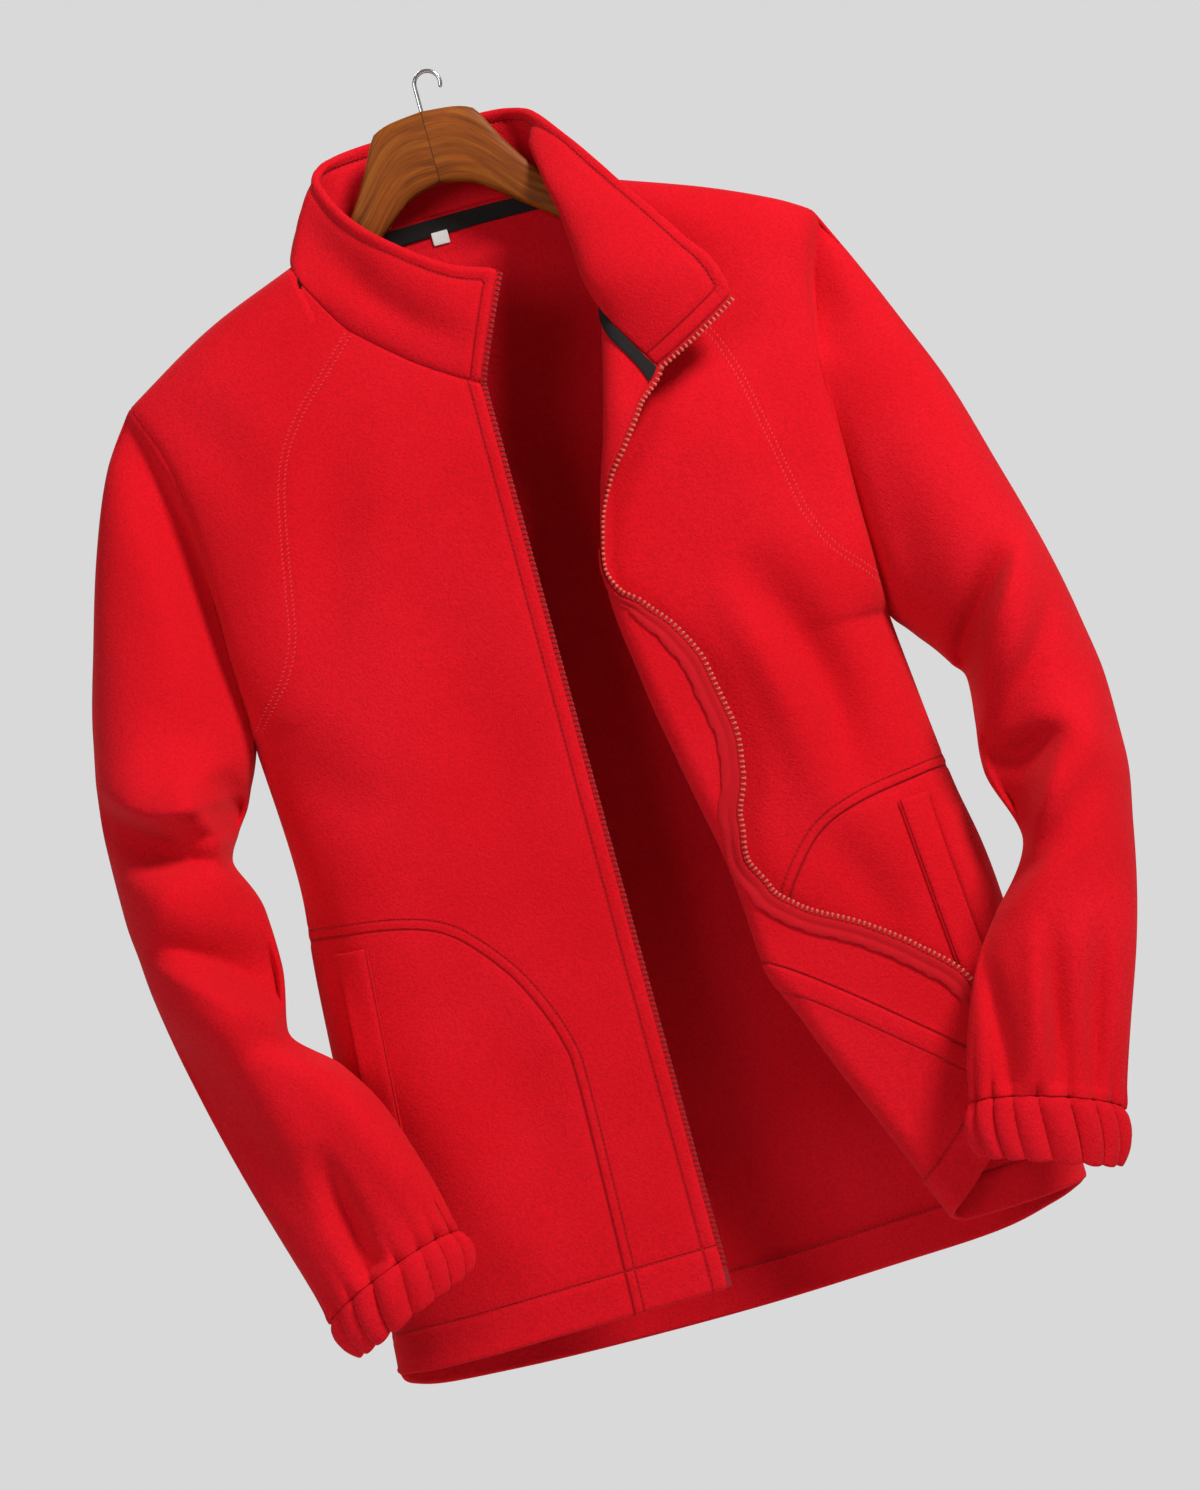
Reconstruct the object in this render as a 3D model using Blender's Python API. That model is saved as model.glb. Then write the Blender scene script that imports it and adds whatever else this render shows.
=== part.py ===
"""Zip-up fleece jacket with a stand collar, hung on a wooden hanger.

Sizes are in millimetres until the meshes are made, which are in metres. A point is written as
(across, depth, drop): across runs to the viewer's right, depth runs away from the viewer and drop runs
down from the top of the hanger's neck. The jacket faces the viewer (-Y). The origin is the inside top of
the hanger's hook.

Every piece of cloth is a wall around its middle surface. The middle surfaces of all pieces meet point for
point at the seams, so that the walls share their directions there and stay SEAM_GAP apart.
"""
import math
from collections import namedtuple

import bmesh
import bpy
import numpy as np
from mathutils.bvhtree import BVHTree

MM = 0.001
HOOK_TOP = -30.0            # drop of the inside top of the hook's bend
HOOK_ACROSS = 9.0           # across of the same point

CLOTH = 2.2                 # thickness of the fleece
COLLAR_CLOTH = 4.2          # the collar is two layers
SEAM_GAP = 0.3
MITRE = 0.5                 # a wall is at most 1 / MITRE times as thick along a sharp seam
CHEST_DEPTH = 52.0          # front wall in front of the shoulder line, at the chest
HEM_DEPTH = 45.0
BACK_DEPTH = 44.0
SHOULDER_ROUND = 38.0       # how far below the shoulder the cloth turns down over the hanger
SHOULDER_FALL = 190.0       # how far below it the front and back are fully apart
SIDE_ROUND = 72.0           # how far from the side seam the front and back turn round
ARMHOLE_OPEN = 0.6          # share of the depth that the armhole keeps
ARMHOLE_CLOSE = 60.0        # how far above the underarm it starts to close

SHOULDER_COLUMNS = 7
NECK_COLUMNS = 7
FOLD_COLUMNS = (4, 5, 1)    # across the turned-back flap, round its roll and beside it
BACK_NECK_COLUMNS = 8
ARMHOLE_ROWS = 8
SIDE_ROWS = 14
ROWS = ARMHOLE_ROWS + SIDE_ROWS
CROWD = 1.6                 # how much rows and columns crowd towards shoulders and sides

# Outlines of each half, across counted outwards from the middle of the jacket: (across, drop)
Half = namedtuple("Half", "sign neckline shoulder armhole side hem_inner")
VIEW_LEFT = Half(
    -1,
    [(9.5, 178), (39, 158), (56, 144), (80.5, 121), (92, 104), (104, 82), (107, 68.5)],
    [(107, 68.5), (169, 93), (232, 128.5)],
    [(232, 128.5), (217.5, 166), (210, 210), (208.5, 254), (208.7, 300), (209, 340), (212, 356)],
    [(212, 356), (208, 451), (215, 530), (228, 748), (231, 774.5)],
    (12, 772))
VIEW_RIGHT = Half(
    1,
    [(9.5, 178), (39, 158), (56, 144), (80.5, 121), (90, 104), (98, 82), (100, 66.5)],
    [(100, 66.5), (161, 89), (203, 108), (226, 121.5)],
    [(226, 121.5), (212.5, 156), (204.5, 198), (202, 240), (201.5, 302), (202, 340), (204, 384)],
    [(204, 384), (207, 419), (215, 498), (226, 579), (230, 770.5)],
    (9.5, 772))

# Double-stitched seam from the neckline to the underarm, and the pocket's curved seam
YOKE_SEAM = [(60, 102), (80.5, 121), (105, 145), (124, 163), (140, 185), (149.5, 209), (156, 240),
             (163, 278), (168, 303), (179, 325), (194, 341), (208, 356), (240, 392)]
POCKET_SEAM = [(250, 490), (208, 491), (194, 492), (152, 498), (122, 510), (97, 537), (82, 563),
               (71, 594), (68.5, 624), (72, 741), (74, 800)]
YOKE_END_SHIFT = {-1: 0.0, 1: 14.0}     # the viewer's right underarm is lower

BACK_HEM = [(-231, 774.5), (-225, 787), (-195, 796), (-120, 801), (0, 802.5), (101, 799.5),
            (171, 796), (209, 786), (226, 777), (230, 770.5)]

# How the viewer's right front is turned out. Along its drop: where the roll lies, its radius, how far the
# cloth turns round it, how much of the edge lies flat beyond it, and how far down the edge is carried.
Fold = namedtuple("Fold", "drop roll_across radius turn_deg flap edge_shift")
FOLDS = [
    Fold(60, 78, 8, 180, 16, 16),
    Fold(105, 80.5, 8, 180, 16, 20),
    Fold(130, 79.5, 10, 180, 16, 22),
    Fold(145, 78, 11, 180, 17, 22),
    Fold(178, 70.5, 11, 180, 19, 20),
    Fold(208, 63, 11, 176, 7, 12),
    Fold(230, 57, 10, 155, 5, 8),
    Fold(255, 49, 9, 120, 5, 3),
    Fold(289, 40, 8, 95, 5, -1),
    Fold(315, 34.5, 8, 95, 5, -2),
    Fold(333, 34, 8, 125, 5, -4),
    Fold(352, 35, 8, 170, 9, -10),
    Fold(377, 38, 9, 180, 19, -15),
    Fold(406, 41.5, 10, 180, 26, -17),
    Fold(445, 48, 10, 180, 26, -18),
    Fold(477, 53.5, 10, 180, 18, -18),
    Fold(508, 59, 9, 170, 6, -20),
    Fold(534, 62, 9, 145, 5, -21),
    Fold(556, 63.5, 9, 175, 7, -22),
    Fold(583, 65, 8, 180, 20, -32),
    Fold(629, 81, 8, 180, 43, -54),
    Fold(663, 94, 8, 180, 57, -67),
    Fold(700, 109.5, 8, 180, 67, -77),
    Fold(775, 140, 8, 180, 67, -85),
]

# The collar, from the viewer's left zip (0) by the neck points (1 and 2) to the viewer's right zip (3):
# a point half-way up it, and one on its top edge
Stay = namedtuple("Stay", "where mid_across mid_depth mid_drop top_across top_depth top_drop")
COLLAR = [
    Stay(0.00, 4, -51, 146, 20.5, -50, 111),
    Stay(0.30, -21, -50, 132, -5, -49, 102),
    Stay(0.60, -55, -41, 107, -40, -40, 76),
    Stay(0.80, -77, -28, 86, -58, -27, 57),
    Stay(0.92, -90, -12, 64, -70, -12, 37),
    Stay(1.00, -95, 0, 44, -76, 2, 18),
    Stay(1.12, -81, 13, 36, -68, 14, 6),
    Stay(1.30, -48, 24, 30, -46, 25, 1),
    Stay(1.50, 0, 30, 28, 0, 29, -1),
    Stay(1.70, 46, 25, 30, 45, 25, 1),
    Stay(1.88, 68, 14, 31, 66, 11, 8),
    Stay(2.00, 64, -2, 36, 85, -14, 34),
    Stay(2.15, 66, -24, 60, 101, -33, 61),
    Stay(2.30, 71, -38, 80, 115, -47, 86),
    Stay(2.45, 76, -51, 104, 128, -59, 107),
    Stay(2.60, 82, -64, 127, 140, -67, 127),
    Stay(2.80, 117, -72, 158, 152, -71, 145),
    Stay(3.00, 131, -71, 183, 158, -70, 167),
]
COLLAR_ROWS = 6

# Sleeve sections from the armhole to the cuff: the outer and inner edge as seen from the front, the
# middle's depth and half the section's depth
Section = namedtuple("Section", "along outer_across outer_drop inner_across inner_drop depth half_depth")
SLEEVE_LEFT = [
    Section(0.00, 232, 128.5, 212, 356, 0, 31),
    Section(0.06, 256, 163, 215, 366, 0, 36),
    Section(0.13, 277, 213, 219, 376, 0, 43),
    Section(0.21, 294, 267, 224, 386, 0, 50),
    Section(0.30, 310.5, 328, 229, 397, -3, 56),
    Section(0.40, 320.5, 397, 239, 412, -8, 57),
    Section(0.47, 319.5, 441, 245, 427, -18, 54),
    Section(0.54, 316, 482, 233, 464, -30, 52),
    Section(0.60, 309, 526, 231, 500, -42, 50),
    Section(0.66, 299, 570, 236, 539, -54, 46),
    Section(0.73, 287, 614, 208, 571, -68, 42),
    Section(0.80, 277, 647, 190, 599, -77, 38),
    Section(0.88, 267, 679, 177, 635, -83, 33),
    Section(0.94, 259, 704, 169, 664, -87, 28),
    Section(1.00, 254, 721, 165, 688, -90, 26),
]
SLEEVE_RIGHT = [
    Section(0.00, 226, 121.5, 204, 384, 0, 31),
    Section(0.06, 244, 161, 209, 392, 0, 36),
    Section(0.13, 262, 204, 215, 399, 0, 42),
    Section(0.21, 281, 253, 221, 407, -1, 50),
    Section(0.30, 296, 308, 228, 416, -3, 55),
    Section(0.40, 312, 372, 236, 429, -8, 57),
    Section(0.47, 320, 420, 242, 443, -16, 55),
    Section(0.53, 324, 462, 239, 469, -26, 52),
    Section(0.60, 322, 511, 234, 500, -42, 50),
    Section(0.67, 312, 556, 245, 544, -60, 44),
    Section(0.74, 302, 592, 213, 588, -78, 38),
    Section(0.81, 290, 627, 193, 613, -93, 32),
    Section(0.88, 276, 663, 178, 645, -101, 28),
    Section(0.94, 264, 694, 169, 672, -105, 26),
    Section(1.00, 253.5, 722, 165, 694.5, -107, 25),
]
SLEEVE_ROWS = 26
CAP_SHARE = 0.24            # share of the sleeve over which the armhole's shape fades out
RAKE = 9.0                  # how much lower the back of the cuff seam is than its middle

# Largest folds of a sleeve: where along it, how steeply it crosses, how wide and how deep it is, and the
# side of the section where it is deepest, in degrees from the outer edge round the front
Crease = namedtuple("Crease", "along slope width depth around spread")
CREASES = {
    -1: [Crease(0.445, 0.10, 0.022, 9, 120, 60), Crease(0.60, 0.16, 0.030, 9, 95, 60),
         Crease(0.655, 0.05, 0.020, 7, 150, 50), Crease(0.52, 0.08, 0.03, -4, 70, 60),
         Crease(0.60, -0.10, 0.030, 7, 260, 60), Crease(0.45, -0.08, 0.030, 6, 255, 60)],
    1: [Crease(0.50, 0.22, 0.030, 8, 110, 60), Crease(0.67, 0.14, 0.024, 9, 130, 60),
        Crease(0.43, 0.06, 0.024, 6, 150, 50), Crease(0.58, 0.12, 0.03, -4, 80, 60),
        Crease(0.66, -0.10, 0.030, 7, 260, 60), Crease(0.46, -0.08, 0.030, 6, 255, 60)],
}

Cuff = namedtuple("Cuff", "outer_across outer_drop inner_across inner_drop depth")
CUFF_END = {-1: Cuff(244.5, 745, 159, 709, -91), 1: Cuff(245, 754.5, 157.5, 723, -108)}
CUFF_HALF_DEPTH = 24.0
CUFF_WAVES = 17             # gathers over the elastic
CUFF_STEPS = 4              # points along each gather
CUFF_WAVE = 2.1             # height of a gather to each side
CUFF_ROWS = 3

WELT = [(194.5, 503), (174, 504), (185, 645), (206, 640)]
WELT_CLOTH = 2.0
WELT_LIFT = 0.9             # gap between a welt and the panel under it, at its middle surface's sides

ZIP_WIDTH = 5.5
ZIP_THICKNESS = 2.4
ZIP_END = 13.0              # length of the pin, and of the box, at the hem
SLIDER_LENGTH = 11.0
SLIDER_REACH = (0.3, 8.5)   # from the cloth's edge
SLIDER_HALF = 2.6           # half its thickness
LUG_REACH = ((1.8, 2.9), (5.9, 7.0))
LUG_TOP, LUG_HALF_LENGTH = 6.0, 1.6
PIN_HEIGHT, PIN_RADIUS = 4.6, 0.75
TAB_REACH = (3.2, 5.6)      # the pull tab's eye, between the lugs
TAB_EYE = (1.0, 1.7)        # inner and outer radius of the eye
TAB = [(3.0, 1.2), (4.2, 3.2), (15.5, 3.2), (16.8, 2.3)]    # along it from the pin, half its width

TAPE_MARKS = (1.5, 7.0, 13.0)       # the neck tape's edges and middle, down from the collar seam
TAPE_CLOTH = 1.0
TAPE_LIFT = 0.5             # gap between the neck tape and the cloth it lies on
LABEL = (-14.0, -2.0, 72.5, 85.5)   # across from, to; drop from, to

# Hanger: across, its top's and underside's drop, half its thickness
Wood = namedtuple("Wood", "across top bottom half")
HANGER = [Wood(0, -6.5, 41, 7), Wood(20, -4.5, 46, 7), Wood(32.5, -0.5, 54.5, 7), Wood(45.5, 22, 65, 7),
          Wood(61, 46.5, 77, 7), Wood(76, 63, 90, 7), Wood(95, 78, 102, 6.5),
          Wood(111.5, 82, 111, 6.5), Wood(130, None, 118, 7.5), Wood(150, None, 126, 8.5), Wood(180, None, 139, 9),
          Wood(200, None, 147, 8)]
HANGER_CLEAR = 4.0          # below the shoulder seams: the cloth rests on the wood
HOOK_WIRE = 1.4             # radius
HOOK_RADIUS = 7.0           # inside the bend

RED = (0.62, 0.012, 0.022)
ORANGE_RED = (0.62, 0.10, 0.05)
BLACK = (0.02, 0.018, 0.018)
WHITE = (0.85, 0.84, 0.82)
BROWN = (0.26, 0.10, 0.025)
STEEL = (0.6, 0.6, 0.6)


# ---------------------------------------------------------------- curves and tables

def table(rows, key):
    """Smoothly interpolated columns of a table at key, with no overshoot between its rows."""
    data = np.array(rows, dtype=float)
    keys, values = data[:, 0], data[:, 1:]
    step = np.diff(keys)[:, None]
    slope = np.diff(values, axis=0) / step
    tangent = np.zeros_like(values)
    tangent[0], tangent[-1] = slope[0], slope[-1]
    rising = slope[:-1] * slope[1:] > 0
    tangent[1:-1][rising] = (2 * slope[:-1] * slope[1:])[rising] / (slope[:-1] + slope[1:])[rising]
    at = min(max(key, keys[0]), keys[-1])
    i = min(int(np.searchsorted(keys, at, side="right")) - 1, len(keys) - 2)
    width = keys[i + 1] - keys[i]
    t = (at - keys[i]) / width
    return ((2 * t**3 - 3 * t**2 + 1) * values[i] + (t**3 - 2 * t**2 + t) * width * tangent[i]
            + (3 * t**2 - 2 * t**3) * values[i + 1] + (t**3 - t**2) * width * tangent[i + 1])


def smooth_line(points, steps=12):
    """A dense line through the points: a Catmull-Rom curve."""
    knots = np.array(points, dtype=float)
    ends = np.vstack([2 * knots[0] - knots[1], knots, 2 * knots[-1] - knots[-2]])
    line = []
    for a, b, c, d in zip(ends, ends[1:], ends[2:], ends[3:]):
        for t in np.arange(steps) / steps:
            line.append(0.5 * (2 * b + (c - a) * t + (2 * a - 5 * b + 4 * c - d) * t**2
                               + (3 * b - a - 3 * c + d) * t**3))
    return np.array(line + [knots[-1]])


def along(line, shares):
    """Points of a line at shares of its length."""
    length = np.concatenate([[0], np.cumsum(np.linalg.norm(np.diff(line, axis=0), axis=1))])
    at = np.array(shares) * length[-1]
    return np.stack([np.interp(at, length, line[:, k]) for k in range(line.shape[1])], axis=1)


def crowd(count, power=CROWD):
    """Shares from 0 to 1 that crowd towards 0."""
    return (np.arange(count + 1) / count) ** power


def quarter(t):
    """A quarter of an ellipse: 0 to 1, steep at 0."""
    t = min(max(t, 0.0), 1.0)
    return math.sqrt(1 - (1 - t) ** 2)


def ease(t):
    t = min(max(t, 0.0), 1.0)
    return t * t * (3 - 2 * t)


# ---------------------------------------------------------------- the body's form

class Outline:
    """One half's outline as dense lines, across counted outwards."""

    def __init__(self, half):
        self.half = half
        self.neckline = smooth_line(half.neckline)
        self.shoulder = smooth_line(half.shoulder)
        self.armhole = smooth_line(half.armhole)
        self.side = smooth_line(half.side)
        self.underarm = half.side[0][1]
        self.slope = ((half.shoulder[1][1] - half.shoulder[0][1])
                      / (half.shoulder[1][0] - half.shoulder[0][0]))

    def shoulder_drop(self, across):
        first = self.shoulder[0]
        if across < first[0]:
            return first[1] - (first[0] - across) * self.slope
        return float(np.interp(across, self.shoulder[:, 0], self.shoulder[:, 1]))

    def side_across(self, drop):
        edge = np.vstack([self.armhole, self.side[1:]])
        return float(np.interp(drop, edge[:, 1], edge[:, 0]))

    def depth(self, across, drop, full):
        """How far the wall stands from the plane of the shoulder and side seams."""
        below = max(drop - self.shoulder_drop(across), 0.0)
        top = 0.45 * quarter(below / SHOULDER_ROUND) + 0.55 * ease(below / SHOULDER_FALL)
        keep = ARMHOLE_OPEN * quarter((self.underarm - drop) / ARMHOLE_CLOSE)
        side = quarter((self.side_across(drop) - across) / SIDE_ROUND)
        return full * top * (keep + (1 - keep) * side)


def front_full(drop):
    return float(table([(60, CHEST_DEPTH), (400, CHEST_DEPTH), (772, HEM_DEPTH)], drop)[0])


def blend_patch(top, bottom, left, right):
    """Points inside four edges, each a row of points; opposite edges have equal counts."""
    def shares(edge):
        steps = np.concatenate([[0], np.cumsum(np.linalg.norm(np.diff(edge, axis=0), axis=1))])
        return steps / steps[-1]
    s_top, s_bottom, s_left, s_right = shares(top), shares(bottom), shares(left), shares(right)
    rows, columns = len(left), len(top)
    grid = np.zeros((rows, columns, 2))
    for i in range(rows):
        for j in range(columns):
            u = (s_top[j] + s_bottom[j]) / 2
            v = s_left[i] * (1 - u) + s_right[i] * u
            u = s_top[j] * (1 - v) + s_bottom[j] * v
            corners = ((1 - u) * (1 - v) * top[0] + u * (1 - v) * top[-1]
                       + (1 - u) * v * bottom[0] + u * v * bottom[-1])
            grid[i, j] = ((1 - v) * top[j] + v * bottom[j] + (1 - u) * left[i] + u * right[i] - corners)
    return grid


def armhole_points(outline):
    turn = np.arange(ARMHOLE_ROWS + 1) * math.pi / ARMHOLE_ROWS
    return along(outline.armhole, (1 - np.cos(turn)) / 2)


def side_points(outline):
    return along(outline.side, np.arange(SIDE_ROWS + 1) / SIDE_ROWS)


def outer_edge(outline):
    return np.vstack([armhole_points(outline), side_points(outline)[1:]])


def shoulder_points(outline):
    return along(outline.shoulder, 1 - crowd(SHOULDER_COLUMNS)[::-1])


def front_cut(outline, neck_columns):
    """The flat front as a grid of (across, drop): rows from the neckline down, columns from the zip out."""
    half = outline.half
    top = np.vstack([along(outline.neckline, np.arange(neck_columns + 1) / neck_columns),
                     shoulder_points(outline)[1:]])
    zip_shares = crowd(ROWS, 1.3)
    start, end = np.array(half.neckline[0], float), np.array(half.hem_inner, float)
    left = start + np.outer(zip_shares, end - start)
    right = outer_edge(outline)
    inner = np.linspace(0, 0.47, neck_columns + 1)
    outer = 1 - 0.53 * crowd(SHOULDER_COLUMNS)[::-1]
    bottom = end + np.outer(np.concatenate([inner, outer[1:]]), right[-1] - end)
    return blend_patch(top, bottom, left, right)


def fold_at(drop):
    return Fold(drop, *table(FOLDS, drop))


def roll_path(across, fold):
    """Length past the start of the roll for a cut point, and the whole length of what is turned."""
    start = fold.roll_across + fold.radius
    length = fold.radius * math.radians(fold.turn_deg) + fold.flap
    share = (start - across) / (start - VIEW_RIGHT.neckline[0][0])
    return share * length, length


def turned(outline, across, drop):
    """Place of a point of the turned-out front: (across, depth, drop)."""
    fold = fold_at(drop)
    start = fold.roll_across + fold.radius
    base = outline.depth(max(across, start), drop, front_full(drop))
    if across >= start:
        return across, -base, drop
    path, whole = roll_path(across, fold)
    turn = math.radians(fold.turn_deg)
    angle = min(path / fold.radius, turn)
    flat = max(path - fold.radius * turn, 0.0)
    place = start - fold.radius * math.sin(angle) - flat * math.cos(angle)
    lift = fold.radius * (1 - math.cos(angle)) + flat * math.sin(angle)
    return place, -base - lift, drop + fold.edge_shift * (path / whole) ** 1.3


def spread_fold_columns(outline, cut):
    """Slides the turned front's columns along its rows, so that they gather in the roll."""
    flap_columns, roll_columns, beside = FOLD_COLUMNS
    roll_start = flap_columns + roll_columns
    neck = roll_start + beside
    outer = 1 - crowd(len(cut[0]) - 1 - neck)[::-1]
    moved = cut.copy()
    for i in range(len(cut)):
        fine = along(cut[i], np.linspace(0, 1, 300))
        length = np.concatenate([[0], np.cumsum(np.linalg.norm(np.diff(cut[i], axis=0), axis=1))])
        neck_mark = 299 * length[neck] / length[-1]
        gap = [p[0] - fold_at(p[1]).roll_across - fold_at(p[1]).radius for p in fine]
        first_flat = next(k for k, g in enumerate(gap) if g >= 0)
        arc_end = first_flat
        while arc_end > 0:
            fold = fold_at(fine[arc_end][1])
            if roll_path(fine[arc_end][0], fold)[0] > fold.radius * math.radians(fold.turn_deg):
                break
            arc_end -= 1
        arc_end = max(arc_end, 8)
        neck_mark = neck_mark if i == 0 else max(neck_mark, first_flat + 0.12 * (299 - first_flat))
        marks = np.concatenate([np.linspace(0, arc_end, flap_columns + 1),
                                np.linspace(arc_end, first_flat, roll_columns + 1)[1:],
                                np.linspace(first_flat, neck_mark, beside + 1)[1:]])
        if i == 0:
            moved[0, :neck] = along(cut[0], marks[:neck] / 299)
        else:
            moved[i] = along(cut[i], np.concatenate([marks, neck_mark + (299 - neck_mark) * outer[1:]]) / 299)
    return moved


# ---------------------------------------------------------------- cutting a panel along its seams

class Cut:
    """A flat panel of cells that seams divide into pieces. A cell is (piece, node numbers)."""

    def __init__(self, grid, piece):
        rows, columns = grid.shape[:2]
        self.nodes = [np.array(p) for p in grid.reshape(-1, 2)]
        self.cells = []
        for i in range(rows - 1):
            for j in range(columns - 1):
                a = i * columns + j
                self.cells.append((piece, [a, a + 1, a + columns + 1, a + columns]))
        self.rim = {i * columns + j for i in range(rows) for j in range(columns)
                    if i in (0, rows - 1) or j in (0, columns - 1)}

    def divide(self, line, piece, new_piece, snap):
        """Gives the cells on the line's left to new_piece. Nodes near the line are drawn onto it."""
        room = {}
        for name, cell in self.cells:
            if name == piece:
                for a, b in zip(cell, cell[1:] + cell[:1]):
                    size = np.linalg.norm(self.nodes[a] - self.nodes[b])
                    room[a], room[b] = min(room.get(a, snap), size), min(room.get(b, snap), size)
        height = {}
        for n in room:
            height[n], foot = signed_distance(self.nodes[n], line)
            if n not in self.rim and abs(height[n]) < 0.4 * room[n]:
                self.nodes[n] = foot
                height[n] = 0.0
        self.settle_rim(piece, height)
        split, cells = {}, []
        for name, cell in self.cells:
            if name != piece:
                cells.append((name, cell))
                continue
            for side, new_name in ((1, new_piece), (-1, piece)):
                kept = self.clip(cell, height, side, split)
                if len(kept) > 2:
                    cells.append((new_name, kept))
        self.cells = cells

    def settle_rim(self, piece, height):
        """A seam meets the panel's rim in a node, never between two."""
        for name, cell in self.cells:
            if name != piece:
                continue
            for a, b in zip(cell, cell[1:] + cell[:1]):
                if a in self.rim and b in self.rim and height[a] * height[b] < 0:
                    height[a if abs(height[a]) < abs(height[b]) else b] = 0.0

    def clip(self, cell, height, side, split):
        if all(abs(height[n]) < 1e-9 for n in cell):
            return cell if side < 0 else []
        kept = []
        for a, b in zip(cell, cell[1:] + cell[:1]):
            if height[a] * side >= 0:
                kept.append(a)
            if height[a] * height[b] < 0:
                key = (min(a, b), max(a, b))
                if key not in split:
                    t = height[key[0]] / (height[key[0]] - height[key[1]])
                    self.nodes.append(self.nodes[key[0]] * (1 - t) + self.nodes[key[1]] * t)
                    split[key] = len(self.nodes) - 1
                kept.append(split[key])
        if all(abs(height.get(n, 0.0)) < 1e-9 for n in kept):
            return []
        return kept


def signed_distance(point, line):
    """Distance from a line, positive on its left as (across, drop) is drawn, and the nearest point."""
    start, step = line[:-1], np.diff(line, axis=0)
    t = np.clip(((point - start) * step).sum(1) / (step * step).sum(1), 0, 1)
    foot = start + step * t[:, None]
    gap = np.linalg.norm(point - foot, axis=1)
    k = int(gap.argmin())
    cross = step[k][0] * (point - foot[k])[1] - step[k][1] * (point - foot[k])[0]
    return (gap[k] if cross < 0 else -gap[k]), foot[k]


# ---------------------------------------------------------------- the jacket's middle surface

class Surface:
    """The middle surfaces of all the cloth, welded at the seams."""

    def __init__(self):
        self.points, self.index = [], {}
        self.faces, self.pieces = [], []

    def node(self, point):
        key = tuple(int(round(c * 50)) for c in point)
        if key not in self.index:
            self.index[key] = len(self.points)
            self.points.append(np.array(point, float))
        return self.index[key]

    def add(self, piece, corners):
        numbers = []
        for point in corners:
            n = self.node(point)
            if n not in numbers:
                numbers.append(n)
        if len(numbers) > 2:
            self.faces.append(numbers)
            self.pieces.append(piece)

    def add_grid(self, piece, grid, closed=False):
        rows, columns = len(grid), len(grid[0])
        for i in range(rows - 1):
            for j in range(columns if closed else columns - 1):
                k = (j + 1) % columns
                self.add(piece, [grid[i][j], grid[i][k], grid[i + 1][k], grid[i + 1][j]])

    def settle(self):
        """Makes every face point out of the jacket, then works out the nodes' directions."""
        mesh = bmesh.new()
        verts = [mesh.verts.new(p) for p in self.points]
        faces = [mesh.faces.new([verts[n] for n in face]) for face in self.faces]
        bmesh.ops.recalc_face_normals(mesh, faces=faces)
        verts_index = {v: n for n, v in enumerate(verts)}
        self.faces = [[verts_index[v] for v in face.verts] for face in faces]
        mesh.free()
        chest = self.pieces.index("front_right")
        if self.face_normal(self.faces[chest])[1] > 0:
            self.faces = [face[::-1] for face in self.faces]
        self.normals = np.zeros((len(self.points), 3))
        flat = [self.face_normal(face) for face in self.faces]
        flat = [way / np.linalg.norm(way) for way in flat]
        for face, way in zip(self.faces, flat):
            for before, n, after in zip(face[-1:] + face[:-1], face, face[1:] + face[:1]):
                a = self.points[before] - self.points[n]
                b = self.points[after] - self.points[n]
                cos = a @ b / np.linalg.norm(a) / np.linalg.norm(b)
                self.normals[n] += way * math.acos(min(max(cos, -1.0), 1.0))
        self.normals /= np.linalg.norm(self.normals, axis=1)[:, None]
        lean = np.zeros(len(self.points))
        count = np.zeros(len(self.points))
        for face, way in zip(self.faces, flat):
            for n in face:
                lean[n] += self.normals[n] @ way
                count[n] += 1
        self.mitre = self.normals / np.clip(lean / count, MITRE, 1.0)[:, None]

    def face_normal(self, face):
        """Normal of a face, as long as its area."""
        p = [self.points[n] for n in face]
        return sum(np.cross(p[k] - p[0], p[k + 1] - p[0]) for k in range(1, len(p) - 1)) / 2


def front_pieces(surface, outline, side_name, turned_out):
    """Adds one front, cut into its panels. Returns its grid in space and its flat one."""
    neck_columns = sum(FOLD_COLUMNS) if turned_out else NECK_COLUMNS
    flat = front_cut(outline, neck_columns)
    if turned_out:
        flat = spread_fold_columns(outline, flat)
    sign = outline.half.sign

    def place(node):
        across, drop = node
        if turned_out:
            return turned(outline, across, drop)
        return sign * across, -outline.depth(across, drop, front_full(drop)), drop

    shape = flat.shape[:2]
    cut = Cut(flat, "front_" + side_name)
    yoke_line = smooth_line(YOKE_SEAM)
    shift = YOKE_END_SHIFT[sign]
    yoke_line[:, 1] += shift * np.clip((yoke_line[:, 1] - 185) / 171, 0, 2)
    cut.divide(yoke_line, "front_" + side_name, "yoke_" + side_name, 20.0)
    cut.divide(smooth_line(POCKET_SEAM), "front_" + side_name, "pocket_" + side_name, 20.0)

    on_seams = pinned_nodes(shape, neck_columns)
    space = []
    for n, node in enumerate(cut.nodes):
        x, y, d = place(node)
        space.append((x, 0.0 if n in on_seams else y, d))
    for name, cell in cut.cells:
        surface.add(name, [space[n] for n in cell])
    return np.array(space[:shape[0] * shape[1]]).reshape(*shape, 3), flat


def pinned_nodes(shape, neck_columns):
    """Grid nodes on the shoulder and side seams, which lie in the plane of the hanger."""
    rows, columns = shape
    shoulder = {j for j in range(neck_columns, columns)}
    side = {i * columns + columns - 1 for i in range(ARMHOLE_ROWS, rows)}
    return shoulder | side


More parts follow.
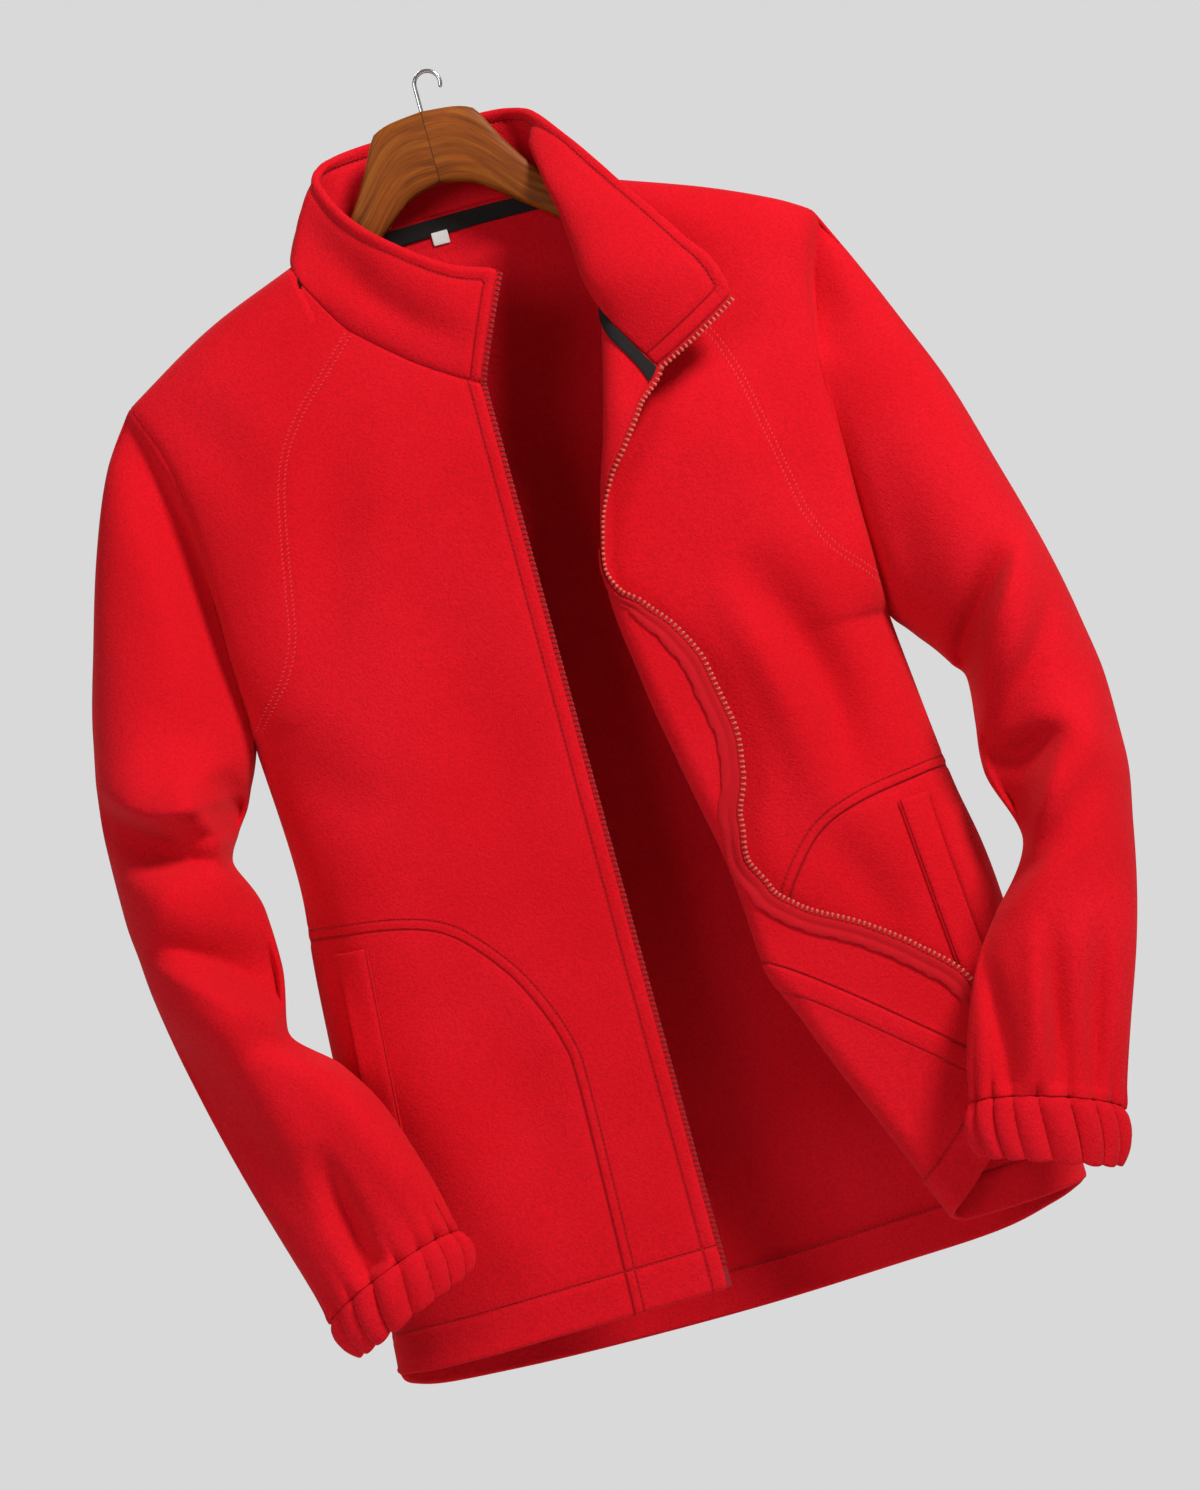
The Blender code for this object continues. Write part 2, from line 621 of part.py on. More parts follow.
def back_piece(surface, left, right):
    """Adds the back. Returns its grid of points in space."""
    neck_left = shoulder_points(left)[0]
    neck_right = shoulder_points(right)[0]
    mid = np.array([0, 57.5])
    neck_line = smooth_line([(-neck_left[0], neck_left[1]), (-62, 60), mid, (61.5, 60), tuple(neck_right)])
    mirror = np.array([-1, 1])
    top = np.vstack([shoulder_points(left)[::-1] * mirror,
                     along(neck_line, np.arange(BACK_NECK_COLUMNS + 1) / BACK_NECK_COLUMNS)[1:],
                     shoulder_points(right)[1:]])
    side = crowd(SHOULDER_COLUMNS)
    share = np.concatenate([0.28 * side, 0.28 + 0.44 * np.arange(1, BACK_NECK_COLUMNS) / BACK_NECK_COLUMNS,
                            1 - 0.28 * side[::-1]])
    bottom = along(smooth_line(BACK_HEM), share)
    flat = blend_patch(top, bottom, outer_edge(left) * mirror, outer_edge(right))
    rows, columns = flat.shape[:2]
    grid = np.zeros((rows, columns, 3))
    for i in range(rows):
        for j in range(columns):
            across, drop = flat[i, j]
            half = left if across < 0 else right
            depth = half.depth(abs(across), min(drop, 774.0), BACK_DEPTH)
            on_shoulder = i == 0 and (j <= SHOULDER_COLUMNS or j >= columns - 1 - SHOULDER_COLUMNS)
            if on_shoulder or (j in (0, columns - 1) and i >= ARMHOLE_ROWS):
                depth = 0.0
            grid[i, j] = across, depth, drop
    surface.add_grid("back", grid)
    return grid


def sleeve_rings(sections, ring, sign):
    """Rings of points from the armhole ring to the cuff seam."""
    first = Section(*sections[0])
    outer0 = np.array([first.outer_across, first.outer_drop])
    reach0 = np.array([first.inner_across, first.inner_drop]) - outer0
    count = len(ring)
    local = []
    for x, y, d in ring:
        off = np.array([abs(x), d]) - outer0
        share = off @ reach0 / (reach0 @ reach0)
        bulge = (off[0] * reach0[1] - off[1] * reach0[0]) / np.linalg.norm(reach0)
        local.append((share, bulge, y))
    rings = [[tuple(p) for p in ring]]
    for i in range(1, SLEEVE_ROWS + 1):
        t = (i / SLEEVE_ROWS) ** 1.06
        s = Section(t, *table(sections, t))
        fade = ease(t / CAP_SHARE)
        outer = np.array([s.outer_across, s.outer_drop])
        reach = np.array([s.inner_across, s.inner_drop]) - outer
        length = np.linalg.norm(reach)
        normal = np.array([reach[1], -reach[0]]) / length
        points = []
        for j in range(count):
            angle = 2 * math.pi * j / count
            share0, bulge0, y0 = local[j]
            share = (1 - fade) * share0 + fade * (1 - math.cos(angle)) / 2
            y_round = s.depth - s.half_depth * math.sin(angle)
            y = (1 - fade) * (y0 * s.half_depth / first.half_depth + s.depth) + fade * y_round
            dent = crease_depth(sign, t, math.degrees(angle))
            inward = np.array([(0.5 - share) * 0.6, 0.0])
            place = outer + reach * share + normal * bulge0 * (1 - fade)
            place = place + reach / length * inward[0] * dent
            y += dent * math.sin(angle)
            rake = RAKE * ease((t - 0.7) / 0.3) * (y_round - s.depth) / s.half_depth
            points.append((sign * place[0], y, place[1] + rake))
        rings.append(points)
    return rings


def crease_depth(sign, t, angle):
    """How far the sleeve's wall is pressed in at a place along and round it."""
    depth = 0.0
    for c in CREASES[sign]:
        away = (angle - c.around + 180) % 360 - 180
        reach = math.exp(-(away / c.spread) ** 2)
        centre = c.along + c.slope * away / 180
        depth += c.depth * reach * math.exp(-((t - centre) / c.width) ** 2)
    return depth


def collar_rows(surface, base):
    """Rows of the collar from its seam to its top edge. base is a list of (where, point)."""
    rows = []
    for k in range(COLLAR_ROWS + 1):
        t = k / COLLAR_ROWS
        row = []
        for where, foot in base:
            values = table(COLLAR, where)
            mid, top = np.array(values[:3]), np.array(values[3:])
            pull = 2 * mid - (foot + top) / 2
            point = (1 - t) ** 2 * foot + 2 * t * (1 - t) * pull + t * t * top
            row.append(tuple(foot if k == 0 else point))
        rows.append(row)
    surface.add_grid("collar", rows)
    return rows


# ---------------------------------------------------------------- walls and meshes

def world(point):
    x, y, d = point
    return ((x - HOOK_ACROSS) * MM, y * MM, (HOOK_TOP - d) * MM)


def make_object(name, points, faces, colour, roughness=0.9, metallic=0.0):
    mesh = bpy.data.meshes.new(name)
    mesh.from_pydata([world(p) for p in points], [], faces)
    work = bmesh.new()
    work.from_mesh(mesh)
    bmesh.ops.recalc_face_normals(work, faces=work.faces)
    if work.calc_volume(signed=True) < 0:
        bmesh.ops.reverse_faces(work, faces=work.faces)
    bmesh.ops.triangulate(work, faces=work.faces)
    work.to_mesh(mesh)
    work.free()
    mesh.shade_smooth()
    mesh.set_sharp_from_angle(angle=math.radians(40))
    material = bpy.data.materials.new(name)
    material.use_nodes = True
    shader = material.node_tree.nodes["Principled BSDF"]
    shader.inputs["Base Color"].default_value = (*colour, 1)
    shader.inputs["Roughness"].default_value = roughness
    shader.inputs["Metallic"].default_value = metallic
    mesh.materials.append(material)
    obj = bpy.data.objects.new(name, mesh)
    bpy.context.scene.collection.objects.link(obj)
    return obj


def split_face(points, face):
    """Triangles of a face, all from the corner that gives the shortest diagonals."""
    count = len(face)
    if count == 3:
        return [tuple(face)]
    reach = [sum(np.linalg.norm(points[face[(s + k) % count]] - points[face[s]]) ** 2
                 for k in range(2, count - 1)) for s in range(count)]
    s = int(np.argmin(reach))
    turned_face = face[s:] + face[:s]
    return [(turned_face[0], turned_face[k], turned_face[k + 1]) for k in range(1, count - 1)]


def wall(points, directions, faces, thickness):
    """Closed wall around faces: its outer and inner points, and its faces, split the same way."""
    triangles = [tri for f in faces for tri in split_face(points, f)]
    used = sorted({n for tri in triangles for n in tri})
    order = {n: k for k, n in enumerate(used)}
    count = len(used)
    half = {n: (thickness[n] if isinstance(thickness, dict) else thickness) / 2 for n in used}
    outer = [points[n] + directions[n] * half[n] for n in used]
    inner = [points[n] - directions[n] * half[n] for n in used]
    edges = {}
    for tri in triangles:
        for a, b in zip(tri, tri[1:] + tri[:1]):
            edges[(a, b)] = True
    mesh_faces = [[order[n] for n in tri] for tri in triangles]
    mesh_faces += [[order[n] + count for n in reversed(tri)] for tri in triangles]
    for edge in edges:
        if edge[::-1] not in edges:
            a, b = order[min(edge)], order[max(edge)]
            mesh_faces += [[a, b, b + count], [a, b + count, a + count]]
    return outer + inner, mesh_faces


def inset_piece(surface, piece):
    """The piece's faces, and its points drawn back by half the seam gap where it meets others."""
    faces = [f for f, name in zip(surface.faces, surface.pieces) if name == piece]
    shared = {n for f, name in zip(surface.faces, surface.pieces) if name != piece for n in f}
    points = {n: surface.points[n].copy() for f in faces for n in f}
    edges = {}
    for f in faces:
        for a, b in zip(f, f[1:] + f[:1]):
            edges[(a, b)] = f
    pull = {}
    for (a, b), f in edges.items():
        if (b, a) in edges or a not in shared or b not in shared:
            continue
        normal = surface.face_normal(f)
        inward = np.cross(normal, surface.points[b] - surface.points[a])
        inward /= np.linalg.norm(inward)
        pull.setdefault(a, []).append(inward)
        pull.setdefault(b, []).append(inward)
    for n, ways in pull.items():
        total = sum(ways)
        size = np.linalg.norm(total)
        spread = max(size / len(ways), 0.5)
        points[n] = points[n] + total / size * (SEAM_GAP / 2) / spread
    return faces, points


def cloth_object(surface, piece, thickness, flat_rings=()):
    """One piece of the welded surface as a closed wall."""
    faces, points = inset_piece(surface, piece)
    directions = {n: surface.mitre[n] for n in points}
    for ring in flat_rings:
        flatten_directions(surface, ring, directions)
    shared = {n for f, name in zip(surface.faces, surface.pieces) if name != piece for n in f}
    thickness = {n: CLOTH if n in shared else thickness for n in points}
    return make_object(piece, *wall(points, directions, faces, thickness), RED)


def flatten_directions(surface, ring, directions):
    """Keeps a ring's wall in the ring's own plane, so that the next piece can sit against it."""
    p = np.array(ring)
    centre = p.mean(axis=0)
    across = sum(np.cross(a - centre, b - centre) for a, b in zip(p, np.roll(p, -1, axis=0)))
    across /= np.linalg.norm(across)
    for point in ring:
        n = surface.node(point)
        way = surface.normals[n] - across * (surface.normals[n] @ across)
        directions[n] = way / np.linalg.norm(way)


def grid_faces(rows, columns, closed=False):
    faces = []
    for i in range(rows - 1):
        for j in range(columns if closed else columns - 1):
            k = (j + 1) % columns
            faces.append([i * columns + j, i * columns + k, (i + 1) * columns + k, (i + 1) * columns + j])
    return faces


def grid_normals(grid, closed=False):
    """Directions of a grid's points."""
    points = np.array(grid, float).reshape(-1, 3)
    normals = np.zeros_like(points)
    for a, b, c, d in grid_faces(len(grid), len(grid[0]), closed):
        area = np.cross(points[c] - points[a], points[d] - points[b])
        for n in (a, b, c, d):
            normals[n] += area
    return points, normals / np.linalg.norm(normals, axis=1)[:, None]


def cuff_object(name, last_ring, sign):
    """The gathered cuff: a wall whose section waves, below the sleeve's last ring."""
    end = CUFF_END[sign]
    ring = np.array(last_ring)
    outer0, inner0 = ring[0], ring[len(ring) // 2]
    front0 = ring[len(ring) // 4]
    centre0 = (outer0 + inner0) / 2
    outer1 = np.array([sign * end.outer_across, end.depth, end.outer_drop])
    inner1 = np.array([sign * end.inner_across, end.depth, end.inner_drop])
    centre1 = (outer1 + inner1) / 2
    front1 = centre1 + np.array([0, -CUFF_HALF_DEPTH, -RAKE * 1.3])
    plane = np.cross(outer0 - centre0, front0 - centre0)
    plane /= np.linalg.norm(plane)
    if plane[2] < 0:
        plane = -plane
    count = CUFF_WAVES * CUFF_STEPS
    rows = []
    for i in range(CUFF_ROWS + 1):
        t = i / CUFF_ROWS
        swell = 1 + 0.05 * math.sin(math.pi * t)
        wave = CUFF_WAVE * (0.45 + 0.55 * math.sin(math.pi * min(t + 0.25, 1.0) * 0.8))
        centre = centre0 * (1 - t) + centre1 * t + plane * SEAM_GAP * (1 - t)
        reach = ((outer0 - centre0) * (1 - t) + (outer1 - centre1) * t) * swell
        front = ((front0 - centre0) * (1 - t) + (front1 - centre1) * t) * swell
        row = []
        for j in range(count):
            angle = 2 * math.pi * j / count
            lean = 1 + 0.35 * math.sin(5 * angle + 1)
            ripple = wave * lean * math.cos(CUFF_WAVES * angle)
            way = math.cos(angle) * reach + math.sin(angle) * front
            row.append(centre + way * (1 + ripple / np.linalg.norm(way)))
        rows.append(row)
    points, normals = grid_normals(rows, closed=True)
    for i, row in ((0, rows[0]),):
        for j in range(count):
            way = normals[i * count + j]
            way = way - plane * (way @ plane)
            normals[i * count + j] = way / np.linalg.norm(way)
    outer_points = np.array(rows).reshape(-1, 3)
    if ((outer_points - outer_points.mean(0)) * normals).sum() < 0:
        normals = -normals
    faces = grid_faces(len(rows), count, closed=True)
    return make_object(name, *wall(dict(enumerate(points)), dict(enumerate(normals)), faces, CLOTH), RED)


def lifted_patch(name, outline, turned_out, corners, columns, rows, lift, thickness):
    """A flat patch on a front, made from the front's own form and moved out."""
    sign = outline.half.sign
    a, b, c, d = [np.array(p, float) for p in corners]
    grid, reach = [], 1.0

    def place(across, drop):
        if turned_out:
            return np.array(turned(outline, across, drop))
        return np.array([sign * across, -outline.depth(across, drop, front_full(drop)), drop])

    for i in range(rows + 1):
        row = []
        for j in range(columns + 1):
            u, v = j / columns, i / rows
            across, drop = (a * (1 - u) + b * u) * (1 - v) + (d * (1 - u) + c * u) * v
            here = place(across, drop)
            over = np.cross(place(across + reach, drop) - here, place(across, drop + reach) - here)
            over /= np.linalg.norm(over)
            if over[1] > 0:
                over = -over
            row.append(here + over * lift)
        grid.append(row)
    points, normals = grid_normals(grid)
    if normals[:, 1].sum() > 0:
        normals = -normals
    faces = grid_faces(rows + 1, columns + 1)
    return make_object(name, *wall(dict(enumerate(points)), dict(enumerate(normals)), faces, thickness), RED)


# ---------------------------------------------------------------- zip

class Edge:
    """The zip edge of one front and its collar: frames from the collar's top down to the hem."""

    def __init__(self, surface, collar, collar_column, front):
        step = 1 if collar_column == 0 else -1
        self.places, self.outs, self.normals = [], [], []
        for k in range(len(collar) - 1, 0, -1):
            self.push(surface, collar[k][collar_column], collar[k][collar_column + step])
        for i in range(len(front)):
            self.push(surface, front[i][0], front[i][1])
        self.places = np.array(self.places)
        length = np.linalg.norm(np.diff(self.places, axis=0), axis=1)
        self.length = np.concatenate([[0], np.cumsum(length)])

    def push(self, surface, point, inner):
        point, inner = np.array(point, float), np.array(inner, float)
        normal = surface.normals[surface.node(point)]
        self.places.append(point)
        self.normals.append(normal)
        self.outs.append((point - inner) / np.linalg.norm(point - inner))

    def frame(self, at):
        """Place, way out of the cloth, outer normal and way down the zip at a length from the top."""
        place = np.array([np.interp(at, self.length, self.places[:, k]) for k in range(3)])
        out = np.array([np.interp(at, self.length, np.array(self.outs)[:, k]) for k in range(3)])
        normal = np.array([np.interp(at, self.length, np.array(self.normals)[:, k]) for k in range(3)])
        ahead = np.array([np.interp(at + 2, self.length, self.places[:, k]) for k in range(3)])
        behind = np.array([np.interp(at - 2, self.length, self.places[:, k]) for k in range(3)])
        down = (ahead - behind) / np.linalg.norm(ahead - behind)
        out = out - down * (out @ down)
        out /= np.linalg.norm(out)
        raw = normal / np.linalg.norm(normal)
        normal = normal - down * (normal @ down) - out * (normal @ out)
        slack = CLOTH / 2 * abs(raw @ out)
        return place + out * slack, out, normal / np.linalg.norm(normal), down


def bar(name, edge, start, end, inner, outer, low, high, colour, metallic=0.0, step=None):
    """A four-sided bar along a zip edge, between two lengths."""
    if step is None:
        marks = [start] + [m for m in edge.length if start + 3 < m < end - 3] + [end]
    else:
        marks = np.linspace(start, end, step + 1)
    points, faces = [], []
    for at in marks:
        place, out, normal, _ = edge.frame(at)
        for reach, height in ((inner, low), (outer, low), (outer, high), (inner, high)):
            points.append(place + out * reach + normal * height)
    count = len(marks)
    for i in range(count - 1):
        for j in range(4):
            k = (j + 1) % 4
            faces.append([4 * i + j, 4 * i + k, 4 * i + 4 + k, 4 * i + 4 + j])
    faces.append([0, 1, 2, 3])
    faces.append([4 * count - 1, 4 * count - 2, 4 * count - 3, 4 * count - 4])
    return make_object(name, points, faces, colour, 0.45, metallic)


def box_corners(frame, reach, height, length):
    """Points and faces of a box in a frame of (place, out, normal, down)."""
    place, out, normal, down = frame
    points = [place + out * r + normal * h + down * a for r in reach for h in height for a in length]
    return points, [[0, 1, 3, 2], [4, 6, 7, 5], [0, 4, 5, 1], [2, 3, 7, 6], [0, 2, 6, 4], [1, 5, 7, 3]]


def slider_object(frame):
    """The zip's slider: its body, two lugs and the pin between them, as one solid."""
    place, out, normal, down = frame
    half = SLIDER_LENGTH / 2
    body = make_object("zip_slider", *box_corners(frame, SLIDER_REACH, (-SLIDER_HALF, SLIDER_HALF), (-half, half)),
                       RED, 0.4, 0.6)
    parts = [box_corners(frame, reach, (SLIDER_HALF - 0.4, LUG_TOP), (-LUG_HALF_LENGTH, LUG_HALF_LENGTH))
             for reach in LUG_REACH]
    pin = []
    for reach in (LUG_REACH[0][1] - 0.5, LUG_REACH[1][0] + 0.5):
        for k in range(8):
            angle = math.radians(22.5 + 45 * k)
            pin.append(place + out * reach + normal * (PIN_HEIGHT + PIN_RADIUS * math.sin(angle))
                       + down * PIN_RADIUS * math.cos(angle))
    parts.append((pin, grid_faces(2, 8, closed=True) + [list(range(8)), list(range(15, 7, -1))]))
    for points, faces in parts:
        other = make_object("other", points, faces, RED)
        union = body.modifiers.new("union", "BOOLEAN")
        union.operation = "UNION"
        union.solver = "EXACT"
        union.object = other
        bpy.context.view_layer.update()
        mesh = bpy.data.meshes.new_from_object(body.evaluated_get(bpy.context.evaluated_depsgraph_get()))
        body.modifiers.clear()
        body.data = mesh
        bpy.data.objects.remove(other, do_unlink=True)
    return body


def pull_object(frame):
    """The pull tab: an eye round the slider's pin and a plate that hangs straight down from it."""
    place, out, normal, down = frame
    hang = math.atan2(normal[2], down[2])
    hang = max(hang, 0.0)
    fall = down * math.cos(hang) + normal * math.sin(hang)
    rise = normal * math.cos(hang) - down * math.sin(hang)
    pin = place + normal * PIN_HEIGHT
    points, faces = [], []
    for reach in TAB_REACH:
        for radius in TAB_EYE[::-1]:
            for k in range(8):
                angle = math.radians(22.5 + 45 * k)
                size = radius / math.cos(math.radians(22.5))
                points.append(pin + out * reach + fall * size * math.cos(angle) + rise * size * math.sin(angle))
    for k in range(8):
        n = (k + 1) % 8
        faces += [[k, n, 8 + n, 8 + k], [16 + k, 24 + k, 24 + n, 16 + n], [8 + k, 8 + n, 24 + n, 24 + k]]
        if k < 7:
            faces.append([k, 16 + k, 16 + n, n])
    last = [7, 0, 16, 23]
    middle = sum(TAB_REACH) / 2
    half = TAB_EYE[1] * math.tan(math.radians(22.5))
    for reach, width in TAB:
        first = len(points)
        for side, up in ((-1, -1), (-1, 1), (1, 1), (1, -1)):
            points.append(pin + fall * reach + out * (middle + side * width) + rise * up * half)
        here = list(range(first, first + 4))
        for k in range(4):
            n = (k + 1) % 4
            faces.append([last[k], last[n], here[n], here[k]])
        last = here
    faces.append(last)
    return make_object("zip_pull", points, faces, RED, 0.4, 0.6)


# ---------------------------------------------------------------- tape and label inside the neck

def neck_tape(surface, columns):
    """The tape inside the neck, just below the collar seam. Each column runs down the cloth from the seam."""
    lift = CLOTH / 2 + TAPE_LIFT + TAPE_CLOTH / 2
    grid = []
    for mark in TAPE_MARKS:
        row = []
        for column in columns:
            line = np.array(column[:4], float)
            ways = np.array([surface.mitre[surface.node(p)] for p in column[:4]])
            length = np.concatenate([[0], np.cumsum(np.linalg.norm(np.diff(line, axis=0), axis=1))])
            both = np.hstack([line, ways])
            here = np.array([np.interp(mark, length, both[:, k]) for k in range(6)])
            row.append(here[:3] - here[3:] * lift)
        grid.append(row)
    points, normals = grid_normals(grid)
    faces = grid_faces(len(grid), len(columns))
    return make_object("neck_tape", *wall(dict(enumerate(points)), dict(enumerate(normals)), faces, TAPE_CLOTH),
                       BLACK)


def size_label(surface):
    """A bare label on the inner side of the back, below the neck tape."""
    faces = [tri for face, name in zip(surface.faces, surface.pieces) if name == "back"
             for tri in split_face(surface.points, face)]
    tree = BVHTree.FromPolygons([tuple(p) for p in surface.points], faces)
    lift = CLOTH / 2 + TAPE_LIFT + TAPE_CLOTH / 2
    grid = []
    for drop in np.linspace(LABEL[2], LABEL[3], 3):
        row = []
        for across in np.linspace(LABEL[0], LABEL[1], 3):
            place, way, _, _ = tree.ray_cast((across, -5.0, drop), (0, 1, 0))
            row.append((across, place.y - lift / abs(way.y), drop))
        grid.append(row)
    points, normals = grid_normals(grid)
    return make_object("size_label", *wall(dict(enumerate(points)), dict(enumerate(normals)), grid_faces(3, 3),
                                           TAPE_CLOTH), WHITE)


# ---------------------------------------------------------------- hanger

def hanger_object(left, right):
    stations = []
    for sign, outline in ((-1, left), (1, right)):
        rows = [w if w.top is not None else
                w._replace(top=outline.shoulder_drop(w.across) + HANGER_CLEAR) for w in HANGER]
        shares = np.linspace(0, 1, 13)
        here = [(sign * a, *table(rows, a)) for a in shares * HANGER[-1].across]
        tip = here[-1]
        middle = (tip[1] + tip[2]) / 2
        for out, size in ((4.5, 0.86), (7.0, 0.55)):
            here.append((tip[0] + sign * out, middle + (tip[1] - middle) * size + out * 0.45,
                         middle + (tip[2] - middle) * size + out * 0.45, tip[3] * size))
        stations += here[::-1] if sign < 0 else here[1:]
    points, faces, count = [], [], 12
    for across, top, bottom, half in stations:
        for j in range(count):
            angle = 2 * math.pi * j / count
            up = math.cos(angle)
            side = math.sin(angle)
            points.append((across, half * math.copysign(abs(side) ** 0.8, side),
                           (top + bottom) / 2 - (bottom - top) / 2 * math.copysign(abs(up) ** 0.9, up)))
    faces = grid_faces(len(stations), count, closed=True)
    faces.append(list(range(count)))
    faces.append([len(points) - 1 - j for j in range(count)])
    return make_object("hanger", points, faces, BROWN, 0.45)


def tube(name, route, radius, sides, colour, roughness, metallic):
    """A closed round bar along a route that lies in the plane of the hanger."""
    route = np.array(route, float)
    ahead = np.gradient(route, axis=0)
    ahead /= np.linalg.norm(ahead, axis=1)[:, None]
    points, faces = [], []
    for (across, drop), (dx, dd) in zip(route, ahead):
        for j in range(sides):
            angle = 2 * math.pi * j / sides
            points.append((across - dd * radius * math.cos(angle), radius * math.sin(angle),
                           drop + dx * radius * math.cos(angle)))
    faces = grid_faces(len(route), sides, closed=True)
    faces.append(list(range(sides)))
    faces.append([len(points) - 1 - j for j in range(sides)])
    return make_object(name, points, faces, colour, roughness, metallic)


def hook_object():
    """The wire hook: a stem from the wood, a bend to the viewer's right and a short tip."""
    bend = HOOK_RADIUS + HOOK_WIRE
    route = [(0.5, HANGER[0].top - 0.3), (0.5, HANGER[0].top - 6)]
    for k in range(13):
        angle = math.radians(180 - 17.5 * k)
        route.append((HOOK_ACROSS + bend * math.cos(angle),
                      HOOK_TOP + HOOK_RADIUS - bend * math.sin(angle)))
    return tube("hook", route, HOOK_WIRE, 10, STEEL, 0.3, 1.0)


# ---------------------------------------------------------------- everything

def build():
    for obj in list(bpy.data.objects):
        bpy.data.objects.remove(obj, do_unlink=True)

    left, right = Outline(VIEW_LEFT), Outline(VIEW_RIGHT)
    surface = Surface()
    front_r, _ = front_pieces(surface, left, "right", turned_out=False)
    front_l, flat_l = front_pieces(surface, right, "left", turned_out=True)
    back = back_piece(surface, left, right)

    sleeves = {}
    for name, sign, front, sections in (("right", -1, front_r, SLEEVE_LEFT), ("left", 1, front_l, SLEEVE_RIGHT)):
        column = 0 if sign < 0 else back.shape[1] - 1
        ring = [front[i][-1] for i in range(ARMHOLE_ROWS + 1)]
        ring += [back[i][column] for i in range(ARMHOLE_ROWS - 1, 0, -1)]
        rings = sleeve_rings(sections, ring, sign)
        surface.add_grid("sleeve_" + name, rings, closed=True)
        sleeves[name] = (sign, rings)

    base = [(j / NECK_COLUMNS, front_r[0][j]) for j in range(NECK_COLUMNS + 1)]
    first = SHOULDER_COLUMNS
    base += [(1 + j / BACK_NECK_COLUMNS, back[0][first + j]) for j in range(1, BACK_NECK_COLUMNS)]
    fold_columns = sum(FOLD_COLUMNS)
    share = np.linalg.norm(np.diff(flat_l[0, :fold_columns + 1], axis=0), axis=1)
    share = np.concatenate([[0], np.cumsum(share)]) / share.sum()
    base += [(3 - share[j], front_l[0][j]) for j in range(fold_columns, -1, -1)]
    collar = collar_rows(surface, base)

    surface.settle()
    for side in ("right", "left"):
        for piece in ("front_", "yoke_", "pocket_"):
            cloth_object(surface, piece + side, CLOTH)
        sign, rings = sleeves[side]
        cloth_object(surface, "sleeve_" + side, CLOTH, flat_rings=[rings[-1]])
        cuff_object("cuff_" + side, rings[-1], sign)
    cloth_object(surface, "back", CLOTH)
    cloth_object(surface, "collar", COLLAR_CLOTH)

    lift = CLOTH / 2 + WELT_LIFT + WELT_CLOTH / 2
    lifted_patch("welt_right", left, False, WELT, 3, 7, lift, WELT_CLOTH)
    lifted_patch("welt_left", right, True, WELT, 3, 7, lift, WELT_CLOTH)

    edge_r = Edge(surface, collar, 0, front_r)
    edge_l = Edge(surface, collar, len(collar[0]) - 1, front_l)
    low, high = -ZIP_THICKNESS / 2, ZIP_THICKNESS / 2
    reach = (SEAM_GAP, SEAM_GAP + ZIP_WIDTH)
    end_r, end_l = edge_r.length[-1], edge_l.length[-1]
    bar("zip_right", edge_r, 2, end_r - ZIP_END - SEAM_GAP, *reach, low, high, ORANGE_RED)
    bar("zip_pin", edge_r, end_r - ZIP_END, end_r, SEAM_GAP, 3.5, -1.4, 1.4, RED, step=1)
    slider_end = end_l - ZIP_END - SEAM_GAP
    zip_end = slider_end - SLIDER_LENGTH - SEAM_GAP
    bar("zip_left", edge_l, 2, zip_end, *reach, low, high, ORANGE_RED)
    bar("zip_box", edge_l, end_l - ZIP_END, end_l, SEAM_GAP, 7.5, -2.2, 2.2, RED, step=1)
    frame = edge_l.frame(slider_end - SLIDER_LENGTH / 2)
    slider_object(frame)
    pull_object(frame)

    columns = [[front_r[i][j] for i in range(4)] for j in range(NECK_COLUMNS)]
    columns.append(list(front_r[0][NECK_COLUMNS:NECK_COLUMNS + 4]))
    columns += [[back[i][first + j] for i in range(4)] for j in range(1, BACK_NECK_COLUMNS)]
    columns.append(list(front_l[0][fold_columns:fold_columns + 4]))
    columns += [[front_l[i][j] for i in range(4)] for j in range(fold_columns - 1, -1, -1)]
    neck_tape(surface, columns)
    size_label(surface)

    hanger_object(left, right)
    hook_object()


build()
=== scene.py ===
import functools
import math
from collections import namedtuple

import bpy
import numpy as np
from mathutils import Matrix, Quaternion, Vector
from mathutils.bvhtree import BVHTree
from mathutils.interpolate import poly_3d_calc

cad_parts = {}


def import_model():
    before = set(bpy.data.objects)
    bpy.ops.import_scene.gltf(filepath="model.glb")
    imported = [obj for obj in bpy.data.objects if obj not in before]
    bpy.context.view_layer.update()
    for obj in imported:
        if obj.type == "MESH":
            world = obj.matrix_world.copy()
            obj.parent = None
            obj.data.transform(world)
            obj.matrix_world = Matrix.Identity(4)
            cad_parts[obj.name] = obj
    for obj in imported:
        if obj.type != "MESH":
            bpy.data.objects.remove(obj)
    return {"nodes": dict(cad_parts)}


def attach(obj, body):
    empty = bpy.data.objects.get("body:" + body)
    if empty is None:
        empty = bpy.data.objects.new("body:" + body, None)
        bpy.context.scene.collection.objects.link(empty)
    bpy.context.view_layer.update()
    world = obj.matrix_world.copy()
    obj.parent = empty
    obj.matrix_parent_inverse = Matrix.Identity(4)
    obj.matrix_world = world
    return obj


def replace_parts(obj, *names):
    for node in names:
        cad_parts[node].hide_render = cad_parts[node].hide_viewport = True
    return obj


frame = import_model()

# A zip-up fleece jacket on a wooden hanger, in the frame's own space. Sizes are in millimetres until the
# meshes are made. A point is (across, depth, drop): across runs to the viewer's right, depth away from the
# viewer, and drop down from the top of the hanger's neck.
MM = 0.001
HOOK_TOP, HOOK_ACROSS = -30.0, 9.0          # the frame's origin: the inside top of the hook
CLOTH, COLLAR_CLOTH = 2.2, 4.2              # thickness
RIM_GAP = 0.03              # each piece ends this far from its seam line
